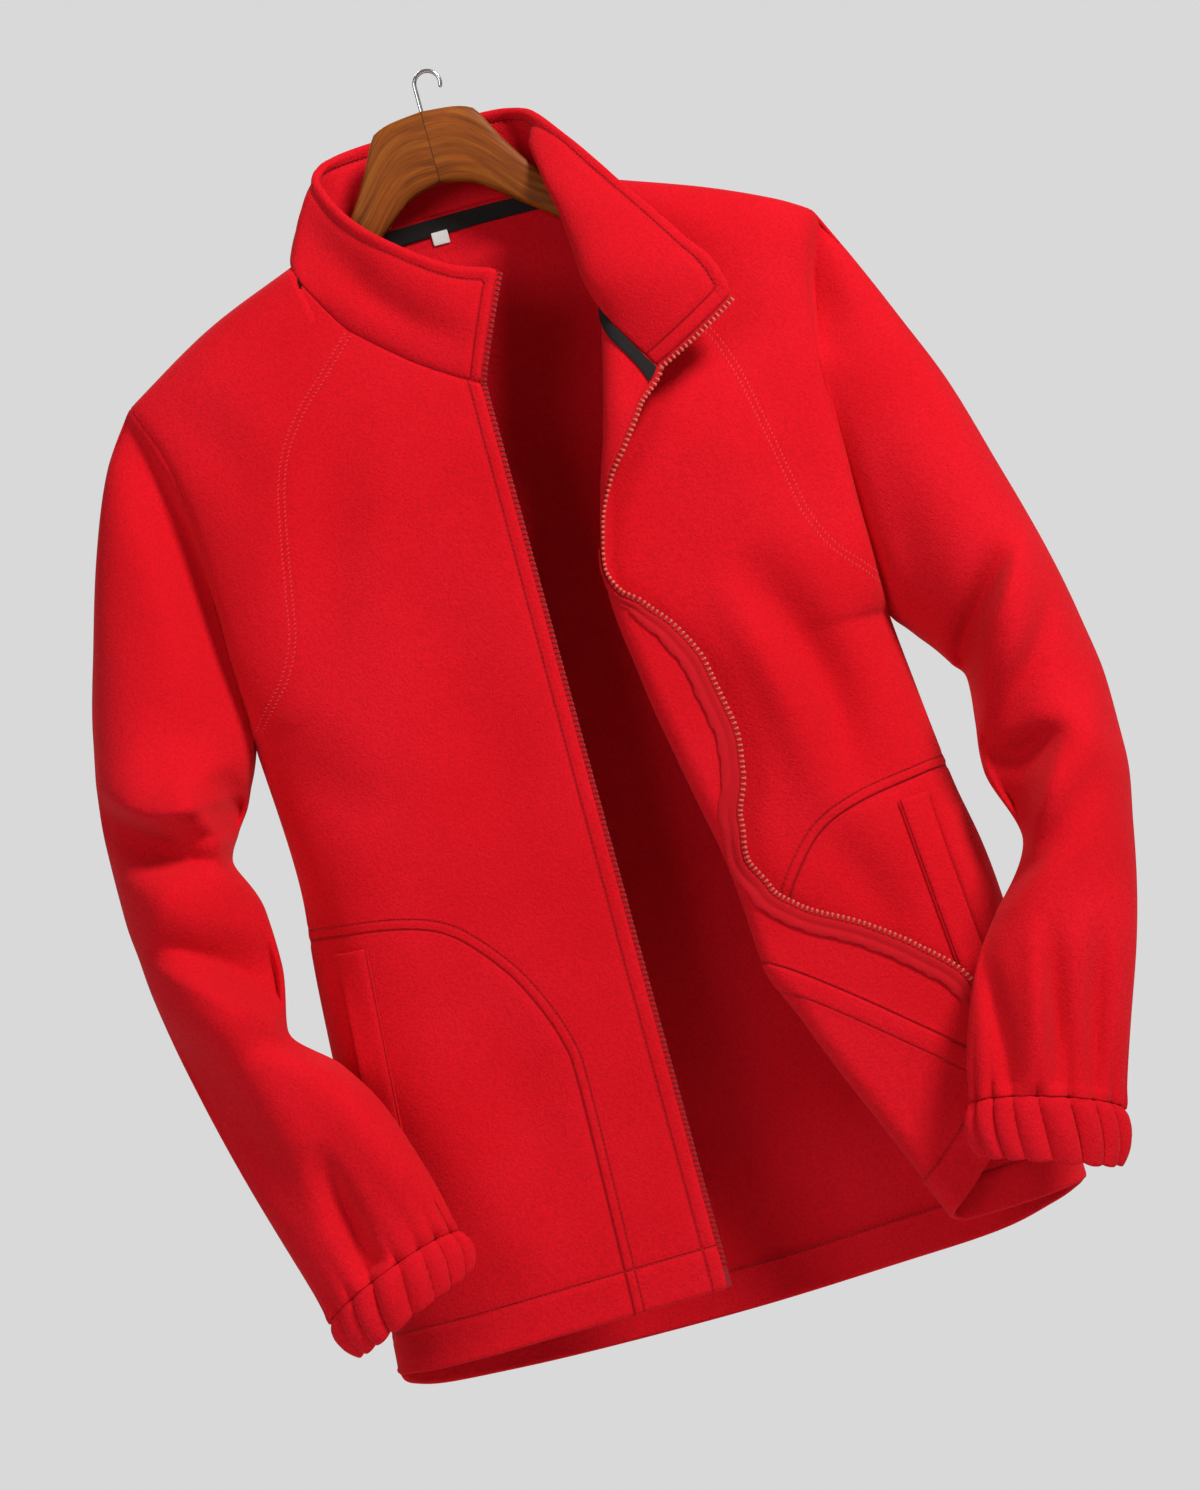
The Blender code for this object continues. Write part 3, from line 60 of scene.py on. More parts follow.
RIM_ROUNDS = 3              # rows of points round a cloth's rim
CHEST_DEPTH, HEM_DEPTH, BACK_DEPTH = 52.0, 45.0, 44.0
SHOULDER_ROUND, SHOULDER_FALL, SIDE_ROUND = 38.0, 190.0, 72.0   # how far from an edge the form rounds out
ARMHOLE_OPEN, ARMHOLE_CLOSE = 0.6, 60.0     # the share of depth at the armhole, and where it starts to close
CROWD = 1.6                 # how strongly the columns crowd together along the shoulder

NECK_COLUMNS, SHOULDER_COLUMNS = 44, 40
FLAP_COLUMNS, ROLL_COLUMNS, BESIDE_COLUMNS = 26, 20, 6
BACK_NECK_COLUMNS = 52
ARMHOLE_ROWS, SIDE_ROWS, HEM_ROWS = 56, 128, 18
HEM_SPAN = 34.0             # the hem's own rows reach this far up
SLEEVE_ROWS, SLEEVE_SIDES = 220, 128
COLLAR_ROWS, COLLAR_COLUMNS = 34, (60, 66, 74)
FINE_STEPS = 399            # for measuring one row of the turned front
HEM = 27.0                  # hem stitch above the edge
ZIP_CHANNEL = 9.0           # stitch beside the zip
BAND = 6.3                  # topstitch inside the pocket seam
STITCH_ACROSS, STITCH_FOOT = (82, 206), 768     # stitched seams keep between and above these
FACING_START = 190.0        # where the zip's tape comes into sight below the collar's top
ZIP_START, ZIP_FOOT = 2.0, 13.3     # the chain's ends, below the collar's top and above the hem
SLIDER_ROOM = 11.3          # the slider's place at the foot of the left chain
TOOTH_PITCH, TOOTH_SIDES = 3.4, 8
SLEEVE_CUT, SLEEVE_LENGTH = 600.0, 620.0    # from cap to wrist, on the flat cut and along the arm
# Distances from seams and stitched lines, kept on each point; the fleece darkens its colour along them as
# painted shade and sinks its bump there.
MARKS = ("seam_a", "seam_b", "seam_c", "line_a", "line_b", "line_c", "line_d")
NO_MARK = 99.0              # the distance where a panel has no line of a kind

# The photo's plane: its roll, the size of its units in mm, its height in them and where the jacket's 0, 0 is.
# Then the camera's distance, the point that it looks at, and its sensor's width.
ROLL_DEG, ROLL_COS, ROLL_SIN = 15.5, 0.9636, 0.2672
PIXEL, PICTURE_HEIGHT, PICTURE_ORIGIN = 0.635, 1490, (420, 110)
CAMERA_AWAY, CAMERA_AIM, SENSOR = 2400.0, (2.4, -45.0, 419.0), 36.0

Half = namedtuple("Half", "sign neckline shoulder armhole side hem_inner")
VIEW_LEFT = Half(
    -1,
    [(9.5, 178), (39, 158), (56, 144), (80.5, 121), (92, 104), (104, 82), (107, 68.5)],
    [(107, 68.5), (169, 93), (232, 128.5)],
    [(232, 128.5), (217.5, 166), (210, 210), (208.5, 254), (208.7, 300), (209, 340), (212, 356)],
    [(212, 356), (208, 451), (215, 530), (228, 748), (231, 774.5)],
    (12, 772))
VIEW_RIGHT = Half(
    1,
    [(9.5, 178), (39, 158), (56, 144), (80.5, 121), (90, 104), (98, 82), (100, 66.5)],
    [(100, 66.5), (161, 89), (203, 108), (226, 121.5)],
    [(226, 121.5), (212.5, 156), (204.5, 198), (202, 240), (201.5, 302), (202, 340), (204, 384)],
    [(204, 384), (207, 419), (215, 498), (226, 579), (230, 770.5)],
    (9.5, 772))
YOKE_SEAM = [
    (60, 102), (80.5, 121), (105, 145), (124, 163), (140, 185), (149.5, 209), (156, 240), (163, 278),
    (168, 303), (179, 325), (194, 341), (208, 356), (240, 392)]
POCKET_SEAM = [
    (250, 490), (208, 491), (194, 492), (152, 498), (122, 510), (97, 537), (82, 563), (71, 594), (68.5, 624),
    (72, 741), (74, 800)]
YOKE_END_SHIFT = {-1: 0.0, 1: 14.0}
BACK_HEM = [
    (-231, 774.5), (-225, 787), (-195, 796), (-120, 801), (0, 802.5), (101, 799.5), (171, 796), (209, 786),
    (226, 777), (230, 770.5)]

Fold = namedtuple("Fold", "drop roll_across radius turn_deg flap edge_shift")
FOLDS = [
    (60, 78, 8, 180, 16, 16), (105, 80.5, 8, 180, 16, 20), (130, 79.5, 10, 180, 16, 22),
    (145, 78, 11, 180, 17, 22), (178, 70.5, 11, 180, 19, 20), (208, 63, 11, 176, 7, 12),
    (230, 57, 10, 155, 5, 8), (255, 49, 9, 120, 5, 3), (289, 40, 8, 95, 5, -1), (315, 34.5, 8, 95, 5, -2),
    (333, 34, 8, 125, 5, -4), (352, 35, 8, 170, 9, -10), (377, 38, 9, 180, 19, -15),
    (406, 41.5, 10, 180, 26, -17), (445, 48, 10, 180, 26, -18), (477, 53.5, 10, 180, 18, -18),
    (508, 59, 9, 170, 6, -20), (534, 62, 9, 145, 5, -21), (556, 63.5, 9, 175, 7, -22),
    (583, 65, 8, 180, 20, -32), (629, 81, 8, 180, 43, -54), (663, 94, 8, 180, 57, -67),
    (700, 109.5, 8, 180, 67, -77), (775, 140, 8, 180, 67, -85)]

# How far round the neck (0 right zip edge, 1 and 2 shoulder seams, 3 left zip edge), then the places of the
# collar's middle and of its top
COLLAR = [
    (0.00, 4, -51, 146, 20.5, -50, 111), (0.30, -21, -50, 132, -5, -49, 102),
    (0.60, -55, -41, 107, -40, -40, 76), (0.80, -77, -28, 86, -58, -27, 57),
    (0.92, -90, -12, 64, -70, -12, 37), (1.00, -95, 0, 44, -76, 2, 18), (1.12, -81, 13, 36, -68, 14, 6),
    (1.30, -48, 24, 30, -46, 25, 1), (1.50, 0, 30, 28, 0, 29, -1), (1.70, 46, 25, 30, 45, 25, 1),
    (1.88, 68, 14, 31, 66, 11, 8), (2.00, 64, -2, 36, 85, -14, 34), (2.15, 66, -24, 60, 101, -33, 61),
    (2.30, 71, -38, 80, 115, -47, 86), (2.45, 76, -51, 104, 128, -59, 107),
    (2.60, 82, -64, 127, 140, -67, 127), (2.80, 117, -72, 158, 152, -71, 145),
    (3.00, 131, -71, 183, 158, -70, 167)]

Section = namedtuple("Section", "along outer_across outer_drop inner_across inner_drop depth half_depth")
SLEEVE_VIEW_LEFT = [
    (0.00, 232, 128.5, 212, 356, 0, 31), (0.06, 256, 163, 215, 366, 0, 36), (0.13, 277, 213, 219, 376, 0, 43),
    (0.21, 294, 267, 224, 386, 0, 50), (0.30, 310.5, 328, 229, 397, -3, 56),
    (0.40, 320.5, 397, 239, 412, -8, 57), (0.47, 319.5, 441, 245, 427, -18, 54),
    (0.54, 316, 482, 233, 464, -30, 52), (0.60, 309, 526, 231, 500, -42, 50),
    (0.66, 299, 570, 236, 539, -54, 46), (0.73, 287, 614, 208, 571, -68, 42),
    (0.80, 277, 647, 190, 599, -77, 38), (0.88, 267, 679, 177, 635, -83, 33),
    (0.94, 259, 704, 169, 664, -87, 28), (1.00, 254, 721, 165, 688, -90, 26)]
SLEEVE_VIEW_RIGHT = [
    (0.00, 226, 121.5, 204, 384, 0, 31), (0.06, 244, 161, 209, 392, 0, 36), (0.13, 262, 204, 215, 399, 0, 42),
    (0.21, 281, 253, 221, 407, -1, 50), (0.30, 296, 308, 228, 416, -3, 55),
    (0.40, 312, 372, 236, 429, -8, 57),
    (0.47, 320, 420, 242, 443, -16, 55), (0.53, 324, 462, 239, 469, -26, 52),
    (0.60, 322, 511, 234, 500, -42, 50), (0.67, 312, 556, 245, 544, -60, 44),
    (0.74, 302, 592, 213, 588, -78, 38), (0.81, 290, 627, 193, 613, -93, 32),
    (0.88, 276, 663, 178, 645, -101, 28), (0.94, 264, 694, 169, 672, -105, 26),
    (1.00, 253.5, 722, 165, 694.5, -107, 25)]
CAP_SHARE, RAKE = 0.24, 9.0
Dent = namedtuple("Dent", "along slope width depth around spread")
DENTS = {
    -1: [(0.445, 0.10, 0.022, 9, 120, 60), (0.60, 0.16, 0.030, 9, 95, 60),
         (0.655, 0.05, 0.020, 7, 150, 50), (0.52, 0.08, 0.03, -4, 70, 60),
         (0.60, -0.10, 0.030, 7, 260, 60), (0.45, -0.08, 0.030, 6, 255, 60)],
    1: [(0.50, 0.22, 0.030, 8, 110, 60), (0.67, 0.14, 0.024, 9, 130, 60),
        (0.43, 0.06, 0.024, 6, 150, 50), (0.58, 0.12, 0.03, -4, 80, 60),
        (0.66, -0.10, 0.030, 7, 260, 60), (0.46, -0.08, 0.030, 6, 255, 60)]}

Cuff = namedtuple("Cuff", "outer_across outer_drop inner_across inner_drop depth")
CUFF_END = {-1: Cuff(244.5, 745, 159, 709, -91), 1: Cuff(245, 754.5, 157.5, 723, -108)}
CUFF_HALF_DEPTH, CUFF_WAVES, CUFF_WAVE = 24.0, 17, 4.0
CUFF_STEPS, CUFF_ROWS = 16, 20

WELT = [(194.5, 503), (174, 504), (185, 645), (206, 640)]
Wood = namedtuple("Wood", "across top bottom half")
HANGER = [Wood(*row) for row in (
    (0, -6.5, 41, 7), (20, -4.5, 46, 7), (32.5, -0.5, 54.5, 7), (45.5, 22, 65, 7),
    (61, 46.5, 77, 7), (76, 63, 90, 7), (95, 78, 102, 6.5), (111.5, 82, 111, 6.5),
    (130, None, 118, 7.5), (150, None, 126, 8.5), (180, None, 139, 9), (200, None, 147, 8))]
HANGER_CLEAR, HANGER_SIDES = 4.0, 40
HOOK_FOOT, HOOK_BEND, HOOK_WIRE, HOOK_SIDES = 0.5, 8.4, 1.4, 16

# The pocket panel's band on the flap's inner face, in the photo's units
FLAP_BAND = [(750, 968), (800, 985), (860, 1010), (930, 1042), (975, 1062)]

# Creases: how far each rises (or falls, below 0), how wide it is on the left and on the right of its line as
# drawn, and the line, in the photo's units. A narrow side is a steep one.
CREASES = {
    "sleeve_right": [
        (17, 30, 6.5, (66, 750), (112, 793), (150, 812), (196, 806), (286, 772)),
        (-18, 8, 18, (60, 776), (130, 832), (190, 842), (270, 816)),
        (25, 6.5, 22, (178, 776), (206, 824), (262, 890)), (-27, 12, 8, (214, 770), (238, 812), (276, 866)),
        (11, 24, 20, (84, 870), (160, 896), (250, 970)),
        (25, 6.5, 30, (130, 958), (180, 980), (226, 1002), (340, 1060)),
        (-32, 32, 7, (150, 938), (228, 968), (326, 1028)),
        (-17, 18, 17, (120, 980), (210, 1090), (320, 1250)),
        (12, 15, 20, (252, 980), (360, 1110), (460, 1250)),
        (-16, 9, 11, (312, 1140), (352, 1226), (396, 1316)),
        (-17, 6, 20, (108, 380), (196, 560), (268, 780)), (4, 16, 22, (94, 420), (156, 590), (212, 790))],
    "sleeve_left": [
        (21, 28, 6.5, (1034, 520), (992, 630), (956, 744)), (-22, 7, 11, (1008, 540), (972, 634), (940, 720)),
        (-16, 9, 15, (940, 716), (1010, 752), (1090, 722)),
        (8, 18, 16, (1020, 684), (1080, 728), (1130, 800)),
        (22, 30, 6.5, (1078, 710), (1038, 818), (988, 946)),
        (-27, 8, 20, (1050, 718), (1014, 810), (972, 906)),
        (-12, 8, 9, (976, 910), (1002, 1030), (1014, 1120)),
        (-11, 8, 8, (1050, 910), (1060, 1040), (1058, 1120)),
        (-10, 7, 8, (1100, 910), (1096, 1030), (1092, 1120)),
        (7, 9, 9, (1030, 900), (1036, 1020), (1036, 1120)),
        (-15, 16, 6.5, (816, 180), (810, 270), (824, 370)), (-10, 9, 6, (824, 370), (858, 510), (908, 660)),
        (4, 20, 20, (856, 310), (905, 450), (960, 620))],
    "front_left": [
        (-15, 18, 15, (740, 546), (820, 668), (872, 810)), (9, 16, 16, (706, 560), (784, 696), (824, 820)),
        (-5, 26, 26, (700, 310), (768, 400), (836, 560)), (-6, 14, 14, (950, 690), (920, 640), (872, 600)),
        (-4, 16, 16, (800, 830), (850, 860), (920, 960))],
    "front_right": [
        (-5, 24, 24, (250, 735), (330, 790), (420, 830)), (-4, 22, 22, (140, 390), (200, 430), (276, 520)),
        (-4, 30, 30, (420, 540), (470, 700), (530, 880)), (-5, 20, 24, (350, 400), (330, 560), (326, 730)),
        (-5, 12, 12, (292, 870), (326, 940), (350, 1040)),
        (-4, 28, 28, (470, 960), (520, 1100), (570, 1240))],
    "collar": [
        (-6, 13, 13, (300, 215), (380, 300), (490, 355)), (-3.0, 11, 11, (572, 110), (545, 165), (552, 230))]}

# Creases of the hidden back, with lines on its flat cut in millimetres
BACK_CREASES = [
    (-6, 22, 26, (-60, 90), (-66, 300), (-40, 560), (-52, 790)),
    (-5, 24, 22, (38, 110), (52, 330), (30, 600), (44, 790)), (5, 26, 26, (-12, 330), (-2, 520), (-14, 790)),
    (-6, 14, 18, (-206, 330), (-150, 400), (-100, 520)), (-5, 16, 14, (-210, 380), (-168, 470), (-150, 600)),
    (-6, 18, 14, (202, 350), (150, 410), (98, 500)), (-5, 14, 16, (204, 400), (170, 500), (158, 640)),
    (-4, 14, 18, (-206, 190), (-150, 220), (-80, 216)), (-4, 18, 14, (200, 180), (146, 214), (84, 212)),
    (5, 20, 24, (-120, 470), (-110, 620), (-128, 790)), (5, 22, 20, (110, 450), (100, 610), (122, 790)),
    (-3, 9, 12, (-50, 82), (0, 96), (52, 82))]


# ---- curves and tables

def columns_of(rows, at):
    """Smoothly interpolated columns of a table at many keys, with no overshoot."""
    data = np.array(rows, dtype=float)
    keys, values = data[:, 0], data[:, 1:]
    slope = np.diff(values, axis=0) / np.diff(keys)[:, None]
    tangent = np.zeros_like(values)
    tangent[0], tangent[-1] = slope[0], slope[-1]
    rising = slope[:-1] * slope[1:] > 0
    tangent[1:-1][rising] = (2 * slope[:-1] * slope[1:])[rising] / (slope[:-1] + slope[1:])[rising]
    at = np.clip(np.asarray(at, float), keys[0], keys[-1])
    i = np.clip(np.searchsorted(keys, at, side="right") - 1, 0, len(keys) - 2)
    width = (keys[i + 1] - keys[i])[..., None]
    t = (at - keys[i])[..., None] / width
    return ((2 * t**3 - 3 * t**2 + 1) * values[i] + (t**3 - 2 * t**2 + t) * width * tangent[i]
            + (3 * t**2 - 2 * t**3) * values[i + 1] + (t**3 - t**2) * width * tangent[i + 1])


def smooth_line(points, steps=12):
    """A dense line through the points: a Catmull-Rom curve."""
    knots = np.array(points, dtype=float)
    ends = np.vstack([2 * knots[0] - knots[1], knots, 2 * knots[-1] - knots[-2]])
    line = []
    for a, b, c, d in zip(ends, ends[1:], ends[2:], ends[3:]):
        for t in np.arange(steps) / steps:
            line.append(0.5 * (2 * b + (c - a) * t + (2 * a - 5 * b + 4 * c - d) * t**2
                               + (3 * b - a - 3 * c + d) * t**3))
    return np.array(line + [knots[-1]])


def lengths(line):
    return np.concatenate([[0], np.cumsum(np.linalg.norm(np.diff(line, axis=0), axis=1))])


def at_lengths(line, length, marks):
    return np.stack([np.interp(marks, length, line[:, k]) for k in range(line.shape[1])], axis=1)


def along(line, shares):
    length = lengths(line)
    return at_lengths(line, length, np.asarray(shares) * length[-1])


def crowd(count, power=CROWD):
    return (np.arange(count + 1) / count) ** power


def quarter(t):
    return np.sqrt(1 - (1 - np.clip(t, 0, 1)) ** 2)


def ease(t):
    t = np.clip(t, 0.0, 1.0)
    return t * t * (3 - 2 * t)


def bump(distance, width):
    return np.exp(-(distance / width) ** 2)


def unit(v):
    return v / np.maximum(np.linalg.norm(v, axis=-1, keepdims=True), 1e-9)


def without(v, *ways):
    """The parts of vectors that don't point along some unit vectors."""
    return v - sum(way * (v * way).sum(1, keepdims=True) for way in ways)


def circle(sides, offset=0.0):
    return 2 * math.pi * (np.arange(sides) + offset) / sides


def line_distance(points, line):
    """For points (n, 2): signed distance from a line, positive on its left as drawn, and share along it."""
    start, step = line[:-1], np.diff(line, axis=0)
    size = (step * step).sum(1)
    at = lengths(line)
    best = np.full(len(points), 1e9)
    signed, share = best.copy(), np.zeros(len(points))
    for k in range(len(start)):
        off = points - start[k]
        t = np.clip(off @ step[k] / size[k], 0, 1)
        gap = np.linalg.norm(off - t[:, None] * step[k], axis=1)
        cross = step[k][0] * off[:, 1] - step[k][1] * off[:, 0]
        near = gap < best
        best = np.where(near, gap, best)
        signed = np.where(near, np.where(cross < 0, gap, -gap), signed)
        share = np.where(near, (at[k] + t * (at[k + 1] - at[k])) / at[-1], share)
    return signed, share


# ---- the body's form

class Outline:
    def __init__(self, half):
        self.half = half
        self.neckline, self.shoulder = smooth_line(half.neckline), smooth_line(half.shoulder)
        self.armhole, self.side = smooth_line(half.armhole), smooth_line(half.side)
        self.underarm = half.side[0][1]
        self.slope = ((half.shoulder[1][1] - half.shoulder[0][1])
                      / (half.shoulder[1][0] - half.shoulder[0][0]))
        self.edge = np.vstack([self.armhole, self.side[1:]])

    def shoulder_drop(self, across):
        first = self.shoulder[0]
        inside = np.interp(across, self.shoulder[:, 0], self.shoulder[:, 1])
        return np.where(across < first[0], first[1] - (first[0] - across) * self.slope, inside)

    def depth(self, across, drop, full):
        below = np.maximum(drop - self.shoulder_drop(across), 0.0)
        top = 0.45 * quarter(below / SHOULDER_ROUND) + 0.55 * ease(below / SHOULDER_FALL)
        keep = ARMHOLE_OPEN * quarter((self.underarm - drop) / ARMHOLE_CLOSE)
        side = quarter((np.interp(drop, self.edge[:, 1], self.edge[:, 0]) - across) / SIDE_ROUND)
        return full * top * (keep + (1 - keep) * side)


def front_full(drop):
    return columns_of([(60, CHEST_DEPTH), (400, CHEST_DEPTH), (772, HEM_DEPTH)], drop)[..., 0]


def blend_patch(top, bottom, left, right):
    """Points inside four edges, each a row of points."""
    def shares(edge):
        length = lengths(edge)
        return length / length[-1]
    s_top, s_bottom, s_left, s_right = (shares(e) for e in (top, bottom, left, right))
    u = ((s_top + s_bottom) / 2)[None, :]
    v = s_left[:, None] * (1 - u) + s_right[:, None] * u
    u = s_top * (1 - v) + s_bottom * v
    u, v = u[..., None], v[..., None]
    corners = ((1 - u) * (1 - v) * top[0] + u * (1 - v) * top[-1]
               + (1 - u) * v * bottom[0] + u * v * bottom[-1])
    return (1 - v) * top + v * bottom + (1 - u) * left[:, None] + u * right[:, None] - corners


def edge_rows(outline):
    """The outer edge's points, row by row, and how far each is from its foot."""
    arm = along(outline.armhole, crowd(ARMHOLE_ROWS, 1.5))
    total = lengths(outline.side)[-1]
    upper = np.linspace(0, 1, SIDE_ROWS + 1) * (total - HEM_SPAN)
    lower = total - HEM_SPAN + np.linspace(0, 1, HEM_ROWS + 1)[1:] * HEM_SPAN
    side = along(outline.side, np.concatenate([upper, lower]) / total)
    edge = np.vstack([arm, side[1:]])
    return edge, lengths(edge)[-1] - lengths(edge)


def zip_rows(start, end, from_foot):
    """Points of the straight zip edge for the same rows, evenly matched near the hem."""
    total, whole = from_foot[0], np.linalg.norm(end - start)
    mine = from_foot * (1 + (whole / total - 1) * (from_foot / total) ** 2)
    return end + (start - end) * (mine / whole)[:, None]


def front_cut(outline, neck_columns):
    half = outline.half
    top = np.vstack([along(outline.neckline, np.arange(neck_columns + 1) / neck_columns),
                     along(outline.shoulder, 1 - crowd(SHOULDER_COLUMNS)[::-1])[1:]])
    right, from_foot = edge_rows(outline)
    start, end = np.array(half.neckline[0], float), np.array(half.hem_inner, float)
    left = zip_rows(start, end, from_foot)
    inner = np.linspace(0, 0.47, neck_columns + 1)
    outer = 1 - 0.53 * crowd(SHOULDER_COLUMNS)[::-1]
    bottom = end + np.outer(np.concatenate([inner, outer[1:]]), right[-1] - end)
    return blend_patch(top, bottom, left, right)


def fold_at(drop):
    return Fold(drop, *np.moveaxis(columns_of(FOLDS, drop), -1, 0))


def roll_path(across, fold):
    start = fold.roll_across + fold.radius
    length = fold.radius * np.radians(fold.turn_deg) + fold.flap
    share = (start - across) / (start - VIEW_RIGHT.neckline[0][0])
    return share * length, length


def turned(outline, across, drop):
    """Places of points of the turned-out front."""
    fold = fold_at(drop)
    start = fold.roll_across + fold.radius
    base = outline.depth(np.maximum(across, start), drop, front_full(drop))
    path, whole = roll_path(across, fold)
    turn = np.radians(fold.turn_deg)
    angle = np.clip(path / fold.radius, 0, turn)
    flat = np.maximum(path - fold.radius * turn, 0.0)
    place = start - fold.radius * np.sin(angle) - flat * np.cos(angle)
    lift = fold.radius * (1 - np.cos(angle)) + flat * np.sin(angle)
    shift = fold.edge_shift * np.clip(path / whole, 0, 2) ** 1.3
    out = across >= start
    return np.stack([np.where(out, across, place), np.where(out, -base, -base - lift),
                     np.where(out, drop, drop + shift)], axis=-1)


def spread_fold_columns(cut):
    """Slides the turned front's columns along its rows, so that they gather in the roll."""
    neck = FLAP_COLUMNS + ROLL_COLUMNS + BESIDE_COLUMNS
    outer = 1 - crowd(cut.shape[1] - 1 - neck)[::-1]
    moved = cut.copy()
    for i in range(len(cut)):
        fine = along(cut[i], np.linspace(0, 1, FINE_STEPS + 1))
        length = lengths(cut[i])
        neck_mark = FINE_STEPS * length[neck] / length[-1]
        fold = fold_at(fine[:, 1])
        gap = fine[:, 0] - fold.roll_across - fold.radius
        first_flat = int(np.argmax(gap >= 0))
        on_flap = roll_path(fine[:, 0], fold)[0] > fold.radius * np.radians(fold.turn_deg)
        arc_end = np.nonzero(on_flap[:first_flat])[0]
        arc_end = max(arc_end[-1] if len(arc_end) else 0, 10)
        neck_mark = neck_mark if i == 0 else max(neck_mark, first_flat + 0.12 * (FINE_STEPS - first_flat))
        marks = np.concatenate([np.linspace(0, arc_end, FLAP_COLUMNS + 1),
                                np.linspace(arc_end, first_flat, ROLL_COLUMNS + 1)[1:],
                                np.linspace(first_flat, neck_mark, BESIDE_COLUMNS + 1)[1:]])
        if i == 0:
            moved[0, :neck] = along(cut[0], marks[:neck] / FINE_STEPS)
        else:
            marks = np.concatenate([marks, neck_mark + (FINE_STEPS - neck_mark) * outer[1:]])
            moved[i] = along(cut[i], marks / FINE_STEPS)
    return moved


def sleeve_grid(sections, ring, sign):
    first = Section(*sections[0])
    outer0 = np.array([first.outer_across, first.outer_drop])
    reach0 = np.array([first.inner_across, first.inner_drop]) - outer0
    off = np.stack([np.abs(ring[:, 0]), ring[:, 2]], axis=1) - outer0
    share0 = off @ reach0 / (reach0 @ reach0)
    bulge0 = (off[:, 0] * reach0[1] - off[:, 1] * reach0[0]) / np.linalg.norm(reach0)
    t = (np.arange(SLEEVE_ROWS + 1) / SLEEVE_ROWS) ** 1.06
    s = columns_of(sections, t)
    fade = ease(t / CAP_SHARE)[:, None]
    outer, reach = s[:, 0:2], s[:, 2:4] - s[:, 0:2]
    depth, half = s[:, 4:5], s[:, 5:6]
    length = np.linalg.norm(reach, axis=1, keepdims=True)
    normal = np.stack([reach[:, 1], -reach[:, 0]], axis=1) / length
    angle = 2 * math.pi * np.arange(len(ring)) / len(ring)
    share = (1 - fade) * share0 + fade * (1 - np.cos(angle)) / 2
    y_round = depth - half * np.sin(angle)
    y = (1 - fade) * (ring[:, 1] * half / first.half_depth + depth) + fade * y_round
    dent = np.zeros_like(y)
    for c in map(Dent._make, DENTS[sign]):
        away = (np.degrees(angle) - c.around + 180) % 360 - 180
        centre = c.along + c.slope * away / 180
        dent += c.depth * bump(away, c.spread) * bump(t[:, None] - centre, c.width)
    place = (outer[:, None] + reach[:, None] * share[..., None]
             + normal[:, None] * (bulge0 * (1 - fade))[..., None]
             + (reach / length)[:, None] * ((0.5 - share) * 0.6 * dent)[..., None])
    y = y + dent * np.sin(angle)
    rake = RAKE * ease((t[:, None] - 0.7) / 0.3) * (y_round - depth) / half
    grid = np.stack([sign * place[..., 0], y, place[..., 1] + rake], axis=-1)
    return grid, flat_grid(np.degrees(angle), t * SLEEVE_CUT)


def gather(angle, down):
    """A ring of uneven gathers, from -1 in the creases to 1 on the puffs."""
    phase = CUFF_WAVES * angle + 0.55 * np.sin(2 * angle + 1) + 0.5 * np.sin(5 * angle + 2) + down
    size = 1 + 0.3 * np.sin(5 * angle + 1)
    return size * (1.7 * np.sqrt(np.abs(np.cos(phase / 2)) + 0.02) - 1.2)


# ---- panels and shells

def flat_grid(across, down):
    """Places on a straight flat cut, for its columns and its rows."""
    return np.stack(np.broadcast_arrays(across, down[:, None]), axis=-1)


def grid_normals(grid, closed=False):
    padded = np.concatenate([grid[:, -1:], grid, grid[:, :1]], axis=1) if closed else grid
    side = np.gradient(padded, axis=1)
    return unit(np.cross(np.gradient(grid, axis=0), side[:, 1:-1] if closed else side))


def grid_quads(rows, columns, closed=False):
    """Faces between a grid's points, or round a tube when it is closed."""
    index = np.arange(rows * columns).reshape(rows, columns)
    if closed:
        index = np.concatenate([index, index[:, :1]], axis=1)
    return np.stack([index[:-1, :-1], index[:-1, 1:], index[1:, 1:], index[1:, :-1]], axis=-1).reshape(-1, 4)


def squeeze(line, inset):
    """Draws both ends of a line of channels inwards, by a length measured on its first three."""
    length = lengths(line[:, :3])
    span = min(12.0, length[-1] / 3)
    near_start, near_end = (np.clip(1 - gap / span, 0, 1) for gap in (length, length[-1] - length))
    return at_lengths(line, length, length + inset * near_start - inset * near_end)


def crease_lift(places, creases, draw=lambda *p: p, steps=6):
    """How far creases lift each point of a grid, from its place in the plane that they are drawn in."""
    lift = np.zeros(places.shape[:2])
    for height, left, right, *line in creases:
        gap, share = line_distance(places.reshape(-1, 2), smooth_line([draw(*p) for p in line], steps))
        rise = height * bump(gap, np.where(gap > 0, left, right)) * np.sin(math.pi * share) ** 1.2
        lift += rise.reshape(lift.shape)
    return lift


